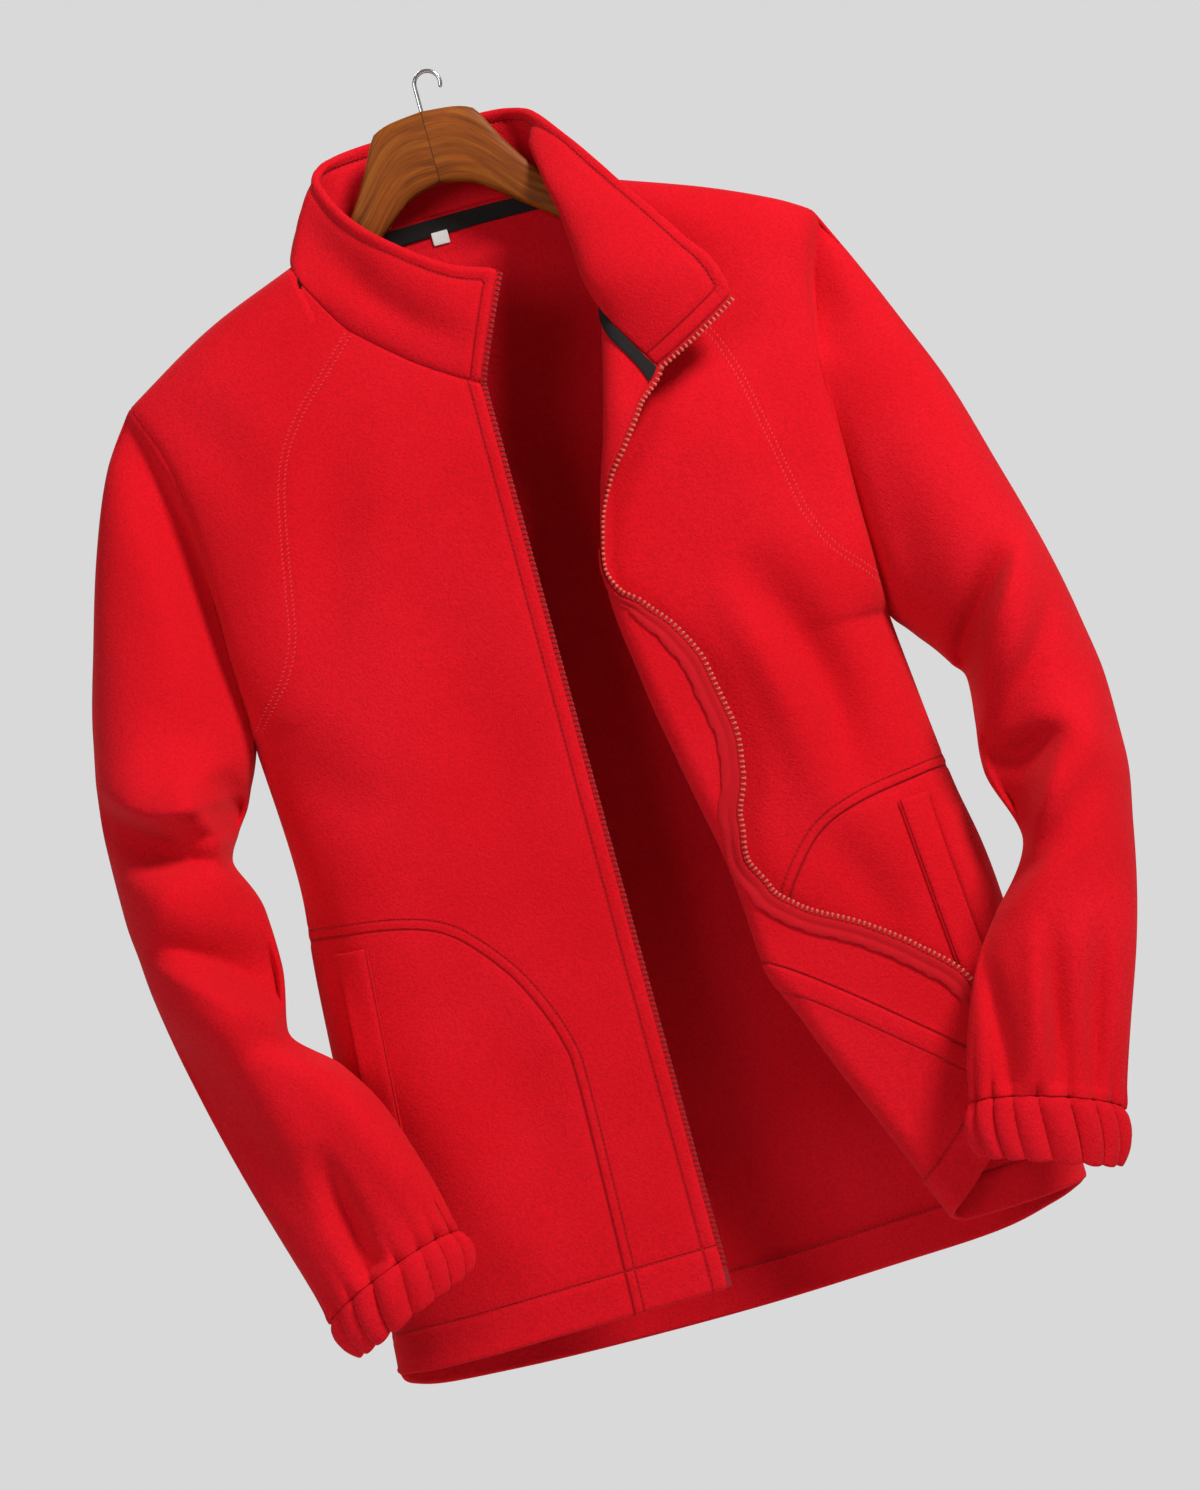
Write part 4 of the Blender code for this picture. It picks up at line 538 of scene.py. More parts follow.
class Panel:
    """A piece of cloth as a grid of points with directions. flat gives each point's place on the flat cut."""

    def __init__(self, name, grid, flat, facing, thickness=CLOTH, closed=False):
        self.name, self.closed, self.thickness, self.facing = name, closed, thickness, facing
        self.whole = self.creased(grid)
        inset = thickness / 2 + RIM_GAP
        data = np.concatenate([self.whole, flat], axis=2)
        for j in range(data.shape[1]):
            data[:, j] = squeeze(data[:, j], inset)
        if not closed:
            for i in range(data.shape[0]):
                data[i] = squeeze(data[i], inset)
        self.grid, self.flat = data[..., :3], data[..., 3:]
        self.normals = self.normals_of(self.grid)
        self.outer = np.full(self.grid.shape[:2], thickness / 2)
        self.inner = self.outer.copy()
        self.marks = {kind: np.full(self.grid.shape[:2], NO_MARK) for kind in MARKS}
        self.tree = None

    def normals_of(self, grid):
        """A grid's normals, on the side of the panel's outer face."""
        normals = grid_normals(grid, self.closed)
        i, j, way = self.facing
        return normals if normals[i, j] @ np.array(way, float) > 0 else -normals

    def creased(self, grid):
        """Raises the creases that are seen on this panel, and fades them out at its seams."""
        rows, columns = grid.shape[:2]
        i, j = np.arange(rows)[:, None], np.arange(columns)[None, :]
        near = np.minimum(i, rows - 1 - i) / 4.0
        if not self.closed:
            near = np.minimum(near, (columns - 1 - j) / 4.0)
        lift = crease_lift(photo_plane(grid), CREASES.get(self.name, ()), picture)
        lift = lift * ease(-2.2 * self.normals_of(grid)[..., 1]) * ease(near)
        return np.stack([grid[..., 0], grid[..., 1] - lift, grid[..., 2]], axis=-1)

    def mark(self, kind, distance, only=True):
        """Stores distances from a seam or a stitched line, in the first free mark of its kind."""
        free = next(k for k in MARKS if k.startswith(kind) and self.marks[k].min() > NO_MARK - 1)
        self.marks[free] = np.where(only, distance, NO_MARK)

    def sink_rims(self, bottom=False, right=False, left=False, depth=0.6, width=2.6):
        """Lowers the outer surface beside sewn rims, which leaves a soft groove along the seam."""
        fall = bump(self.from_row(last=False), width)
        if bottom:
            fall = np.maximum(fall, bump(self.from_row(), width))
        strength = np.where(np.arange(len(fall)) < ARMHOLE_ROWS, 1.0, 0.6)[:, None]
        across = self.from_column()
        if right:
            fall = np.maximum(fall, strength * bump(across[:, -1:] - across, width))
        if left:
            fall = np.maximum(fall, strength * bump(across, width))
        self.outer -= np.minimum(depth, self.thickness * 0.4) * fall

    def from_row(self, last=True):
        """Length along the cloth from the last (or first) row."""
        step = np.linalg.norm(np.diff(self.grid, axis=0), axis=2)
        total = np.concatenate([np.zeros((1, step.shape[1])), np.cumsum(step, axis=0)])
        return (total[-1] - total if last else total) + self.thickness / 2

    def from_column(self):
        """Length along the cloth from the first column."""
        step = np.linalg.norm(np.diff(self.grid, axis=1), axis=2)
        total = np.concatenate([np.zeros((len(step), 1)), np.cumsum(step, axis=1)], axis=1)
        return total + self.thickness / 2

    def faces(self):
        return grid_quads(*self.grid.shape[:2], self.closed)

    def area(self):
        """The cloth's area in square metres."""
        a, b, c, d = (self.grid.reshape(-1, 3)[corner] for corner in self.faces().T)
        return np.linalg.norm(np.cross(c - a, d - b), axis=1).sum() / 2 * 1e-6

    def sample(self, flat_points, side=1):
        """Points on the outer (1) or inner (-1) surface and directions, for places on the flat cut."""
        if self.tree is None:
            self.flat_points = [Vector((u, v, 0)) for u, v in self.flat.reshape(-1, 2)]
            self.flat_faces = self.faces().tolist()
            self.tree = BVHTree.FromPolygons(self.flat_points, self.flat_faces)
        offset = self.outer if side > 0 else -self.inner
        surface = (self.grid + self.normals * offset[..., None]).reshape(-1, 3)
        normals = self.normals.reshape(-1, 3) * side
        places, ways = [], []
        for u, v in flat_points:
            hit, _, face, _ = self.tree.find_nearest((u, v, 0))
            corners = self.flat_faces[face]
            weights = np.array(poly_3d_calc([self.flat_points[c] for c in corners], hit))
            places.append(weights @ surface[corners])
            ways.append(weights @ normals[corners])
        return np.array(places), unit(np.array(ways))

    def build(self, material, slot="fleece"):
        points, quads, source = shell(self.grid, self.normals, self.outer, self.inner, self.closed)
        marks = {k: v.reshape(-1)[source] for k, v in self.marks.items()}
        return make_object(self.name + "_cloth", points, [quads], material, marks)


def shell(grid, normals, outer, inner, closed=False):
    """A closed wall round a grid, with rounded rims: points, quads and each point's number in the grid."""
    rows, columns = grid.shape[:2]
    count = rows * columns
    index = np.arange(count).reshape(rows, columns)
    quads = grid_quads(rows, columns, closed)
    mid, way = grid.reshape(-1, 3), normals.reshape(-1, 3)
    up, down = outer.reshape(-1, 1), inner.reshape(-1, 1)
    points, source = [mid + way * up, mid - way * down], [index.ravel(), index.ravel()]
    faces = [quads, quads[:, ::-1] + count]
    top, bottom = unit(grid[0] - grid[1]), unit(grid[-1] - grid[-2])
    if closed:
        loops = [(index[0], top), (index[-1][::-1], bottom[::-1])]
    else:
        left, right = unit(grid[:, 0] - grid[:, 1]), unit(grid[:, -1] - grid[:, -2])
        loop = np.concatenate([index[0], index[1:, -1], index[-1, :-1][::-1], index[1:-1, 0][::-1]])
        outs = np.concatenate([top, right[1:], bottom[:-1][::-1], left[1:-1][::-1]])
        corners = np.cumsum([0, columns - 1, rows - 1, columns - 1])
        outs[corners] += np.stack([left[0], right[0], bottom[-1], left[-1]])
        loops = [(loop, unit(outs))]
    made = 2 * count
    for loop, outs in loops:
        before = loop
        outs = unit(without(outs, way[loop]))
        for k in range(1, RIM_ROUNDS + 2):
            here = loop + count
            if k <= RIM_ROUNDS:
                angle = math.pi * k / (RIM_ROUNDS + 1)
                height = np.cos(angle) * (up[loop] if angle < math.pi / 2 else down[loop])
                reach = np.sin(angle) * np.maximum(up[loop], down[loop])
                points.append(mid[loop] + way[loop] * height + outs * reach)
                source.append(loop)
                here = np.arange(made, made + len(loop))
                made += len(loop)
            faces.append(np.stack([np.roll(before, -1), before, here, np.roll(here, -1)], axis=1))
            before = here
    return np.concatenate(points), np.concatenate(faces), np.concatenate(source)


def world(points):
    p = np.asarray(points, float)
    return np.stack([p[..., 0] - HOOK_ACROSS, p[..., 1], HOOK_TOP - p[..., 2]], axis=-1) * MM


def make_object(name, points, faces, material, marks=None):
    """A solid object. faces lists arrays, each of faces with one count of corners."""
    place = world(points)
    volume = sum((place[f[:, 0]] * np.cross(place[f[:, k]], place[f[:, k + 1]])).sum()
                 for f in faces for k in range(1, f.shape[1] - 1))
    if volume < 0:
        faces = [f[:, ::-1] for f in faces]
    mesh = bpy.data.meshes.new(name)
    mesh.from_pydata(place.tolist(), [], [corners for f in faces for corners in f.tolist()])
    mesh.shade_smooth()
    for key, values in (marks or {}).items():
        mesh.attributes.new(key, "FLOAT", "POINT").data.foreach_set("value", np.asarray(values, np.float32))
    obj = add_object(name, mesh, material)
    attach(obj, "jacket")
    return obj


def add_object(name, data, material=None):
    if material:
        data.materials.append(material)
    obj = bpy.data.objects.new(name, data)
    bpy.context.scene.collection.objects.link(obj)
    return obj


def picture(px, py):
    """A place in the picture as (across, drop) in the plane of the jacket."""
    x, y = px - PICTURE_ORIGIN[0], py - PICTURE_ORIGIN[1]
    return (ROLL_COS * x - ROLL_SIN * y) * PIXEL, (ROLL_SIN * x + ROLL_COS * y) * PIXEL


def photo_plane(points):
    """Where points are seen in that plane from the camera."""
    aim_across, aim_depth, aim_drop = CAMERA_AIM
    f = (CAMERA_AWAY - aim_depth + points[..., 1]) / CAMERA_AWAY
    return np.stack([aim_across + (points[..., 0] - aim_across) / f,
                     aim_drop + (points[..., 2] - aim_drop) / f], axis=-1)


# ---- materials

def tint(colour, *shares):
    return tuple(c * s for c, s in zip(colour, shares if len(shares) > 1 else shares * 3))


class Shader:
    """Builds a material's nodes."""

    def __init__(self, name):
        self.material = bpy.data.materials.new(name)
        self.material.use_nodes = True
        self.tree = self.material.node_tree
        self.base = self.tree.nodes["Principled BSDF"]

    @functools.cached_property
    def coords(self):
        return self.node("ShaderNodeTexCoord").outputs["Object"]

    def node(self, kind, **values):
        n = self.tree.nodes.new(kind)
        for key, value in values.items():
            if key in n.inputs:
                n.inputs[key].default_value = value
            else:
                setattr(n, key, value)
        return n

    def put(self, value, socket):
        """Links a socket to another one, or sets it to a number or a colour."""
        if isinstance(value, (int, float)):
            socket.default_value = value
        elif isinstance(value, tuple):
            socket.default_value = (*value, 1)
        else:
            self.tree.links.new(value, socket)

    def set(self, **values):
        for key, value in values.items():
            self.put(value, self.base.inputs[key.replace("_", " ")])

    def math(self, operation, *values):
        n = self.node("ShaderNodeMath", operation=operation)
        for k, value in enumerate(values):
            self.put(value, n.inputs[k])
        return n.outputs[0]

    def space(self, *parts):
        n = self.node("ShaderNodeCombineXYZ")
        for k, part in enumerate(parts):
            self.put(part, n.inputs[k])
        return n.outputs[0]

    def noise(self, scale, detail=2.0, roughness=0.5, vector=None, distortion=0.0):
        n = self.node("ShaderNodeTexNoise", Scale=scale, Detail=detail, Roughness=roughness,
                      Distortion=distortion)
        self.put(vector or self.coords, n.inputs["Vector"])
        return n.outputs["Fac"]

    def mark(self, name):
        return self.node("ShaderNodeAttribute", attribute_name=name).outputs["Fac"]

    def lines(self, kind, width):
        """1 on the marked lines of a kind, fading to 0 at width."""
        found = []
        for name in (k for k in MARKS if k.startswith(kind)):
            t = self.math("MULTIPLY_ADD", self.math("ABSOLUTE", self.mark(name)), -1.0 / width, 1.0)
            t = self.math("MAXIMUM", t, 0.0)
            found.append(self.math("MULTIPLY", t, t))
        return functools.reduce(functools.partial(self.math, "MAXIMUM"), found)

    def ramp(self, factor, *stops):
        n = self.node("ShaderNodeValToRGB")
        self.put(factor, n.inputs[0])
        while len(n.color_ramp.elements) < len(stops):
            n.color_ramp.elements.new(0.5)
        for element, (place, colour) in zip(n.color_ramp.elements, stops):
            element.position = place
            element.color = (*(colour if isinstance(colour, tuple) else (colour,) * 3), 1)
        return n.outputs[0]

    def mix(self, factor, a, b):
        n = self.node("ShaderNodeMix", data_type="RGBA")
        for k, value in ((0, factor), (6, a), (7, b)):
            self.put(value, n.inputs[k])
        return n.outputs[2]

    def relief(self, height, distance, strength):
        n = self.node("ShaderNodeBump", Strength=strength, Distance=distance)
        self.put(height, n.inputs["Height"])
        self.put(n.outputs[0], self.base.inputs["Normal"])


def fleece_material(name, tone):
    """Short brushed pile: close tufts, soft clouds of darker and lighter tone, and painted shade: darker
    lines along the grooves where it is sewn down.
    """
    s = Shader(name)
    red = tint((0.70, 0.0050, 0.0130), *tone)
    dark, light = tint(red, 0.95, 0.8, 0.85), tint(red, 1.04, 1.3, 1.25)
    colour = s.ramp(s.noise(9), (0.35, dark), (0.5, red), (0.68, light))
    pile, clump = s.noise(950, 2, 0.6, distortion=0.3), s.noise(480)
    fine = s.math("MULTIPLY_ADD", pile, 0.55, s.math("MULTIPLY", clump, 0.45))
    colour = s.mix(s.ramp(fine, (0.36, 0.42), (0.60, 0.0)), colour, tint(dark, 0.6))
    groove = s.math("MAXIMUM", s.lines("seam", 1.7), s.math("MULTIPLY", s.lines("line", 1.5), 0.7))
    # Painted shade: the colour darkens along seams and stitched lines, standing in for the shade in their
    # grooves; the same mask sinks the bump.
    colour = s.mix(s.math("MULTIPLY", groove, 0.40), colour, tint(dark, 0.35))
    s.relief(s.math("MULTIPLY_ADD", fine, 1.0, s.math("MULTIPLY", groove, -1.6)), 0.0013, 0.8)
    s.set(Base_Color=colour, Roughness=0.95, Specular_IOR_Level=0.10, Sheen_Weight=0.10, Sheen_Roughness=0.5,
          Sheen_Tint=(1.0, 0.20, 0.20))
    return s.material


def plain_material(name, colour, patches, shade, grain, relief, **finish):
    """One colour with soft patches of shade and a fine grain."""
    s = Shader(name)
    low, dark, high = shade
    s.relief(s.noise(*grain), *relief)
    s.set(Base_Color=s.ramp(s.noise(*patches), (low, tint(colour, dark)), (high, colour)), **finish)
    return s.material


def tape_material(name, colour, dark):
    """A twill tape: fine diagonal ribs."""
    s = Shader(name)
    wave = s.node("ShaderNodeTexWave", Scale=420.0, Distortion=0.6, Detail=1.0, bands_direction="DIAGONAL")
    s.put(s.coords, wave.inputs["Vector"])
    ribs = wave.outputs["Fac"]
    s.relief(ribs, 0.0003, 0.5)
    s.set(Base_Color=s.mix(s.math("MULTIPLY", ribs, 0.6), dark, colour), Roughness=0.85,
          Specular_IOR_Level=0.1)
    return s.material


def wood_material():
    """Varnished wood: broad bands, long grain and fibres, and a dark join between its two halves."""
    s = Shader("wood")
    u, v, side = s.mark("arm"), s.mark("height"), s.mark("side")
    left = s.math("LESS_THAN", side, 0.0)
    long = s.space(s.math("MULTIPLY", u, 0.016),
                   s.math("MULTIPLY_ADD", v, 0.16, s.math("MULTIPLY", left, 31.0)),
                   s.math("MULTIPLY", left, 7.0))
    fine = s.space(s.math("MULTIPLY", u, 0.03),
                   s.math("MULTIPLY_ADD", v, 1.5, s.math("MULTIPLY", left, 13.0)))
    grain, bands = s.noise(1.0, 4, 0.62, long, 0.5), s.noise(0.35, 2, 0.5, long, 0.9)
    fibres = s.noise(1.0, 3, 0.7, fine)
    colour = s.ramp(grain, (0.28, (0.10, 0.020, 0.0015)), (0.5, (0.27, 0.060, 0.0035)),
                    (0.72, (0.42, 0.12, 0.008)))
    colour = s.mix(s.ramp(bands, (0.4, 0.0), (0.6, 0.5)), colour, (0.17, 0.040, 0.003))
    colour = s.mix(s.ramp(fibres, (0.36, 0.55), (0.52, 0.0)), colour, (0.08, 0.022, 0.004))
    join = s.math("LESS_THAN", s.math("ABSOLUTE", side), 0.35)
    colour = s.mix(s.math("MULTIPLY", join, 0.75), colour, (0.045, 0.014, 0.004))
    s.relief(s.math("SUBTRACT", fibres, join), 0.00025, 0.35)
    s.set(Base_Color=colour, Roughness=0.5, Specular_IOR_Level=0.16)
    return s.material


THREAD_LOOK = dict(patches=(900,), shade=(0.3, 0.75, 0.7), grain=(2600, 1), relief=(0.0002, 0.4),
                   Roughness=0.6, Specular_IOR_Level=0.3)
PLASTIC_LOOK = dict(patches=(260,), shade=(0.3, 0.8, 0.7), grain=(1500,), relief=(0.0001, 0.3),
                    Roughness=0.35, Specular_IOR_Level=0.25)
METAL_LOOK = dict(patches=(180, 3, 0.6), shade=(0.25, 0.7, 0.65), grain=(900, 3, 0.6), relief=(0.00006, 0.4))
FLEECE = fleece_material("fleece", (1, 1, 1))
FLEECE_RIB = fleece_material("fleece_cuff", (1.0, 1.1, 1.1))
THREAD = plain_material("thread", (0.80, 0.040, 0.045), **THREAD_LOOK)
THREAD_DARK = plain_material("thread_dark", (0.56, 0.006, 0.014), **THREAD_LOOK)
# One red plastic in two copies: the darker copy, on the viewer's left edge, is painted shade; the brighter
# salmon copy, on the turned-out flap, is painted light.
TEETH_SHADED_AND_LIT = {"right": plain_material("teeth_left_painted_shade", (0.26, 0.010, 0.009), **PLASTIC_LOOK),
         "left": plain_material("teeth_right_painted_light", (0.66, 0.12, 0.085), **PLASTIC_LOOK)}
ZIP_TAPE = tape_material("zip_tape", (0.66, 0.010, 0.020), (0.46, 0.005, 0.010))
NECK_TAPE = tape_material("neck_tape", (0.030, 0.026, 0.026), (0.012, 0.010, 0.010))
LABEL = tape_material("label", (0.86, 0.85, 0.83), (0.74, 0.73, 0.71))
PAINTED = plain_material("zip_metal", (0.45, 0.02, 0.03), **METAL_LOOK, Metallic=0.5, Roughness=0.4)
STEEL = plain_material("steel", (0.66, 0.65, 0.63), **METAL_LOOK, Metallic=1.0, Roughness=0.22)
WOOD = wood_material()


# ---- sewing

def copies(form, faces):
    """One small form at many places: a list of its points, each with all its places, and its faces."""
    points = np.stack(form, axis=1)
    start = np.arange(len(points)) * len(form)
    return points.reshape(-1, 3), (faces[None] + start[:, None, None]).reshape(-1, 4)


def capsules(places, ways, ups, length, radius, sides=6):
    """Small round-ended threads, one for each place."""
    rings = ((-0.5, 0.12), (-0.42, 0.8), (0.0, 1.0), (0.42, 0.8), (0.5, 0.12))
    across = np.cross(ways, ups)
    form = [places + ways * reach * length + (across * math.cos(a) + ups * math.sin(a)) * size * radius
            for reach, size in rings for a in circle(sides)]
    last = (len(rings) - 1) * sides
    caps = np.array([(3, 2, 1, 0), (5, 4, 3, 0), (last, last + 1, last + 2, last + 3),
                     (last, last + 3, last + 4, last + 5)])
    return copies(form, np.vstack([grid_quads(len(rings), sides, True), caps]))


class Sewing:
    """Gathers the stitches that go on one panel."""

    def __init__(self, panel):
        self.panel, self.points, self.faces = panel, [], []

    def line(self, flat_line, side=1, pitch=3.2, length=2.2, radius=0.32, lift=0.0, slant=0.0):
        """Stitches along a line on the flat cut."""
        dense = along(flat_line, np.linspace(0, 1, max(int(lengths(flat_line)[-1] / 1.5), 8)))
        places, normals = self.panel.sample(dense, side)
        at = lengths(places)
        marks = np.arange(pitch / 2, at[-1], pitch)
        here, up = at_lengths(places, at, marks), unit(at_lengths(normals, at, marks))
        way = unit(at_lengths(places, at, marks + 0.8) - at_lengths(places, at, marks - 0.8))
        way = unit(without(way, up))
        way = way * math.cos(slant) + np.cross(up, way) * math.sin(slant)
        points, faces = capsules(here + up * lift, way, up, length, radius)
        self.faces.append(faces + sum(map(len, self.points)))
        self.points.append(points)

    def both_sides(self, flat_line, **options):
        for side in (1, -1):
            self.line(flat_line, side, **options)

    def build(self, ending, material):
        make_object(self.panel.name + ending, np.concatenate(self.points), [np.concatenate(self.faces)],
                    material)


def shifted(line, distance):
    """A line moved to its left by a distance."""
    way = unit(np.gradient(line, axis=0))
    return line + np.stack([way[:, 1], -way[:, 0]], axis=1) * distance


def level_line(field, flat, value):
    """Where a field that grows along each row of a flat cut has a value."""
    return np.array([[np.interp(value, f, row[:, k]) for k in (0, 1)] for f, row in zip(field, flat)])


def hem_line(panel, field, value):
    """The same for a field that grows upwards from the last row."""
    return level_line(field[::-1].T, np.swapaxes(panel.flat[::-1], 0, 1), value)


# ---- fronts and back

def yoke_line(sign):
    line = smooth_line(YOKE_SEAM)
    line[:, 1] += YOKE_END_SHIFT[sign] * np.clip((line[:, 1] - 185) / 171, 0, 2)
    return line


def front_panel(outline, name, turned_out):
    neck = FLAP_COLUMNS + ROLL_COLUMNS + BESIDE_COLUMNS if turned_out else NECK_COLUMNS
    flat = front_cut(outline, neck)
    if turned_out:
        flat = spread_fold_columns(flat)
    across, drop = flat[..., 0], flat[..., 1]
    if turned_out:
        grid = turned(outline, across, drop)
    else:
        depth = outline.depth(across, drop, front_full(drop))
        grid = np.stack([outline.half.sign * across, -depth, drop], axis=-1)
    grid[0, neck:, 1] = 0.0
    grid[ARMHOLE_ROWS:, -1, 1] = 0.0
    panel = Panel(name, grid, flat, (60, neck + 10, (0, -1, 0)))
    panel.neck = neck
    points, shape = panel.flat.reshape(-1, 2), panel.grid.shape[:2]
    yoke = line_distance(points, yoke_line(outline.half.sign))[0].reshape(shape)
    pocket = -line_distance(points, smooth_line(POCKET_SEAM))[0].reshape(shape)
    hem, side = panel.from_row(), panel.from_column()
    panel.hem, panel.side = hem, side
    # Grooves at seams and stitches, and the doubled cloth of the pocket's band, the hem and the zip's edge
    panel.outer += (-0.4 * bump(yoke, 2.4) - 1.0 * bump(pocket, 2.2)
                    + 0.5 * ease(pocket / 2) * ease((BAND + 2 - pocket) / 2) - 0.7 * bump(pocket - BAND, 2.0)
                    - 0.6 * bump(hem - HEM, 2.0) + 0.5 * ease((HEM - hem) / 3)
                    - 0.6 * bump(side - ZIP_CHANNEL, 2.0) + 0.5 * ease((ZIP_CHANNEL - side) / 3))
    panel.inner += 1.1 * ease((HEM + 2 - hem) / 2) + 0.5 * bump(hem - HEM - 1, 2.0)
    outside = np.ones(shape, bool)
    if turned_out:
        band, share = line_distance(photo_plane(panel.grid).reshape(-1, 2),
                                    smooth_line([picture(*p) for p in FLAP_BAND], 6))
        band = np.where((share <= 0.01) | (share >= 0.99), NO_MARK, band).reshape(shape)
        outside = panel.normals[..., 1] <= 0.25
        panel.inner += 1.2 * ease(panel.normals[..., 1] * 3) * ease((7 - np.abs(band)) / 1.5)
        for kind, edge in (("seam", -7.0), ("line", 6.6)):
            panel.mark(kind, band + edge, ~outside & (np.abs(band) < 60))
    # The welt's outer edge: the cloth sinks in a groove, and a seam mark darkens its colour there as painted
    # shadow in the pocket's slit.
    slit, share = (v.reshape(shape) for v in line_distance(points, np.array([WELT[0], WELT[3]], float)))
    slit = slit + 1.0
    beside = outside & (share > 0.01) & (share < 0.99) & (np.abs(slit) < 9)
    panel.outer -= 0.7 * bump(slit, 3.0) * beside
    panel.mark("seam", slit * 0.5, beside)
    panel.mark("seam", pocket, outside)
    panel.mark("line", pocket - BAND, outside)
    panel.mark("line", hem - HEM)
    panel.mark("line", side - ZIP_CHANNEL, outside)
    panel.sink_rims(right=True)
    return panel


def back_neck(left, right):
    """The neck's edge across the back."""
    start, end = left.shoulder[0], right.shoulder[0]
    return smooth_line([(-start[0], start[1]), (-62, 60), (0, 57.5), (61.5, 60), tuple(end)])


def back_depth(left, right, across, drop):
    w = ease((across + 30) / 60)
    return ((1 - w) * left.depth(np.abs(across), drop, BACK_DEPTH)
            + w * right.depth(np.abs(across), drop, BACK_DEPTH))


def back_panel(left, right):
    mirror = np.array([-1, 1])
    near, neck = crowd(SHOULDER_COLUMNS), np.arange(BACK_NECK_COLUMNS + 1) / BACK_NECK_COLUMNS
    top = np.vstack([along(left.shoulder, 1 - near[::-1])[::-1] * mirror,
                     along(back_neck(left, right), neck)[1:],
                     along(right.shoulder, 1 - near[::-1])[1:]])
    share = np.concatenate([0.28 * near, 0.28 + 0.44 * neck[1:-1], 1 - 0.28 * near[::-1]])
    bottom = along(smooth_line(BACK_HEM), share)
    flat = blend_patch(top, bottom, edge_rows(left)[0] * mirror, edge_rows(right)[0])
    across, drop = flat[..., 0], flat[..., 1]
    depth = back_depth(left, right, across, np.minimum(drop, 774.0))
    rows, columns = depth.shape
    depth[0, :SHOULDER_COLUMNS + 1] = 0.0
    depth[0, columns - 1 - SHOULDER_COLUMNS:] = 0.0
    depth[ARMHOLE_ROWS:, [0, -1]] = 0.0
    i, j = np.arange(rows)[:, None], np.arange(columns)[None, :]
    ends = ease(np.minimum(np.minimum(i, rows - 1 - i), 12) / 12 + 0.35)
    lift = crease_lift(flat, BACK_CREASES, steps=8) * ends * ease(np.minimum(j, columns - 1 - j) / 10)
    lift[0] = 0.0
    grid = np.stack([across, depth + lift, drop], axis=-1)
    panel = Panel("back", grid, flat, (70, columns // 2, (0, 1, 0)))
    panel.hem = hem = panel.from_row()
    panel.outer += -0.5 * bump(hem - HEM, 2.0) + 0.4 * ease((HEM - hem) / 3)
    panel.inner += 1.1 * ease((HEM + 2 - hem) / 2) + 0.6 * bump(hem - HEM - 1, 2.0)
    panel.mark("line", hem - HEM)
    panel.sink_rims(right=True, left=True)
    return panel


# ---- sleeves, cuffs and collar

def armhole_ring(outline):
    """The armhole's points round the sleeve's start: front from the shoulder down, then back."""
    flat = along(outline.armhole, (1 - np.cos(circle(SLEEVE_SIDES)[:SLEEVE_SIDES // 2 + 1])) / 2)
    ring = []
    for side, full in ((-1, front_full(flat[:, 1])), (1, BACK_DEPTH)):
        depth = side * outline.depth(flat[:, 0], flat[:, 1], full)
        depth[[0, -1]] = 0.0
        ring.append(np.stack([outline.half.sign * flat[:, 0], depth, flat[:, 1]], axis=1))
    return np.vstack([ring[0], ring[1][-2:0:-1]])


def sleeve_panel(name, outline, sections):
    grid, flat = sleeve_grid(sections, armhole_ring(outline), outline.half.sign)
    normals = grid_normals(grid, True)
    if ((grid - grid.mean(axis=1, keepdims=True)) * normals).sum() < 0:
        normals = -normals
    left = (1 - flat[..., 1] / SLEEVE_CUT) * SLEEVE_LENGTH
    puff = gather(np.radians(flat[..., 0]), 0.0) * (0.55 * bump(left, 12) + 0.5 * bump(left, 44)) * CUFF_WAVE
    middle = (SLEEVE_ROWS // 2, SLEEVE_SIDES // 4, (0, -1, 0))
    panel = Panel(name, grid + normals * puff[..., None], flat, middle, closed=True)
    panel.last_ring = grid[-1]
    panel.sink_rims(bottom=True)
    return panel


def cuff_panel(name, ring, sign):
    """A gathered cuff from a sleeve's last ring to its own open end."""
    end = CUFF_END[sign]
    outer0, front0, inner0 = (ring[len(ring) * quarters // 4] for quarters in (0, 1, 2))
    centre0 = (outer0 + inner0) / 2
    outer1 = np.array([sign * end.outer_across, end.depth, end.outer_drop])
    inner1 = np.array([sign * end.inner_across, end.depth, end.inner_drop])
    centre1 = (outer1 + inner1) / 2
    front1 = centre1 + np.array([0, -CUFF_HALF_DEPTH, 1.0])
    plane = unit(np.cross(outer0 - centre0, front0 - centre0))
    plane = plane if plane[2] > 0 else -plane
    angle = circle(CUFF_WAVES * CUFF_STEPS)
    rows = []
    for t in np.arange(CUFF_ROWS + 1) / CUFF_ROWS:
        swell = 1 + 0.07 * math.sin(math.pi * t) ** 0.8 - 0.05 * t ** 3
        wave = CUFF_WAVE * (0.6 + 0.5 * math.sin(math.pi * t) - 0.2 * t)
        centre = centre0 * (1 - t) + centre1 * t + plane * 0.3 * (1 - t)
        reach = ((outer0 - centre0) * (1 - t) + (outer1 - centre1) * t) * swell
        front = ((front0 - centre0) * (1 - t) + (front1 - centre1) * t) * swell
        way = np.outer(np.cos(angle), reach) + np.outer(np.sin(angle), front)
        puffs = gather(angle, 2.4 * t)
        place = centre + way * (1 + wave * puffs / np.linalg.norm(way, axis=1))[:, None]
        rows.append(place + np.outer(puffs + 0.5 * np.sin(3 * angle), plane) * 1.6 * t ** 2)
    panel = Panel(name, np.array(rows), flat_grid(np.degrees(angle), np.arange(CUFF_ROWS + 1) * 2.0),
                  (CUFF_ROWS // 2, len(angle) // 4, (0, -1, 0)), closed=True)
    panel.sink_rims(depth=0.8)
    return panel


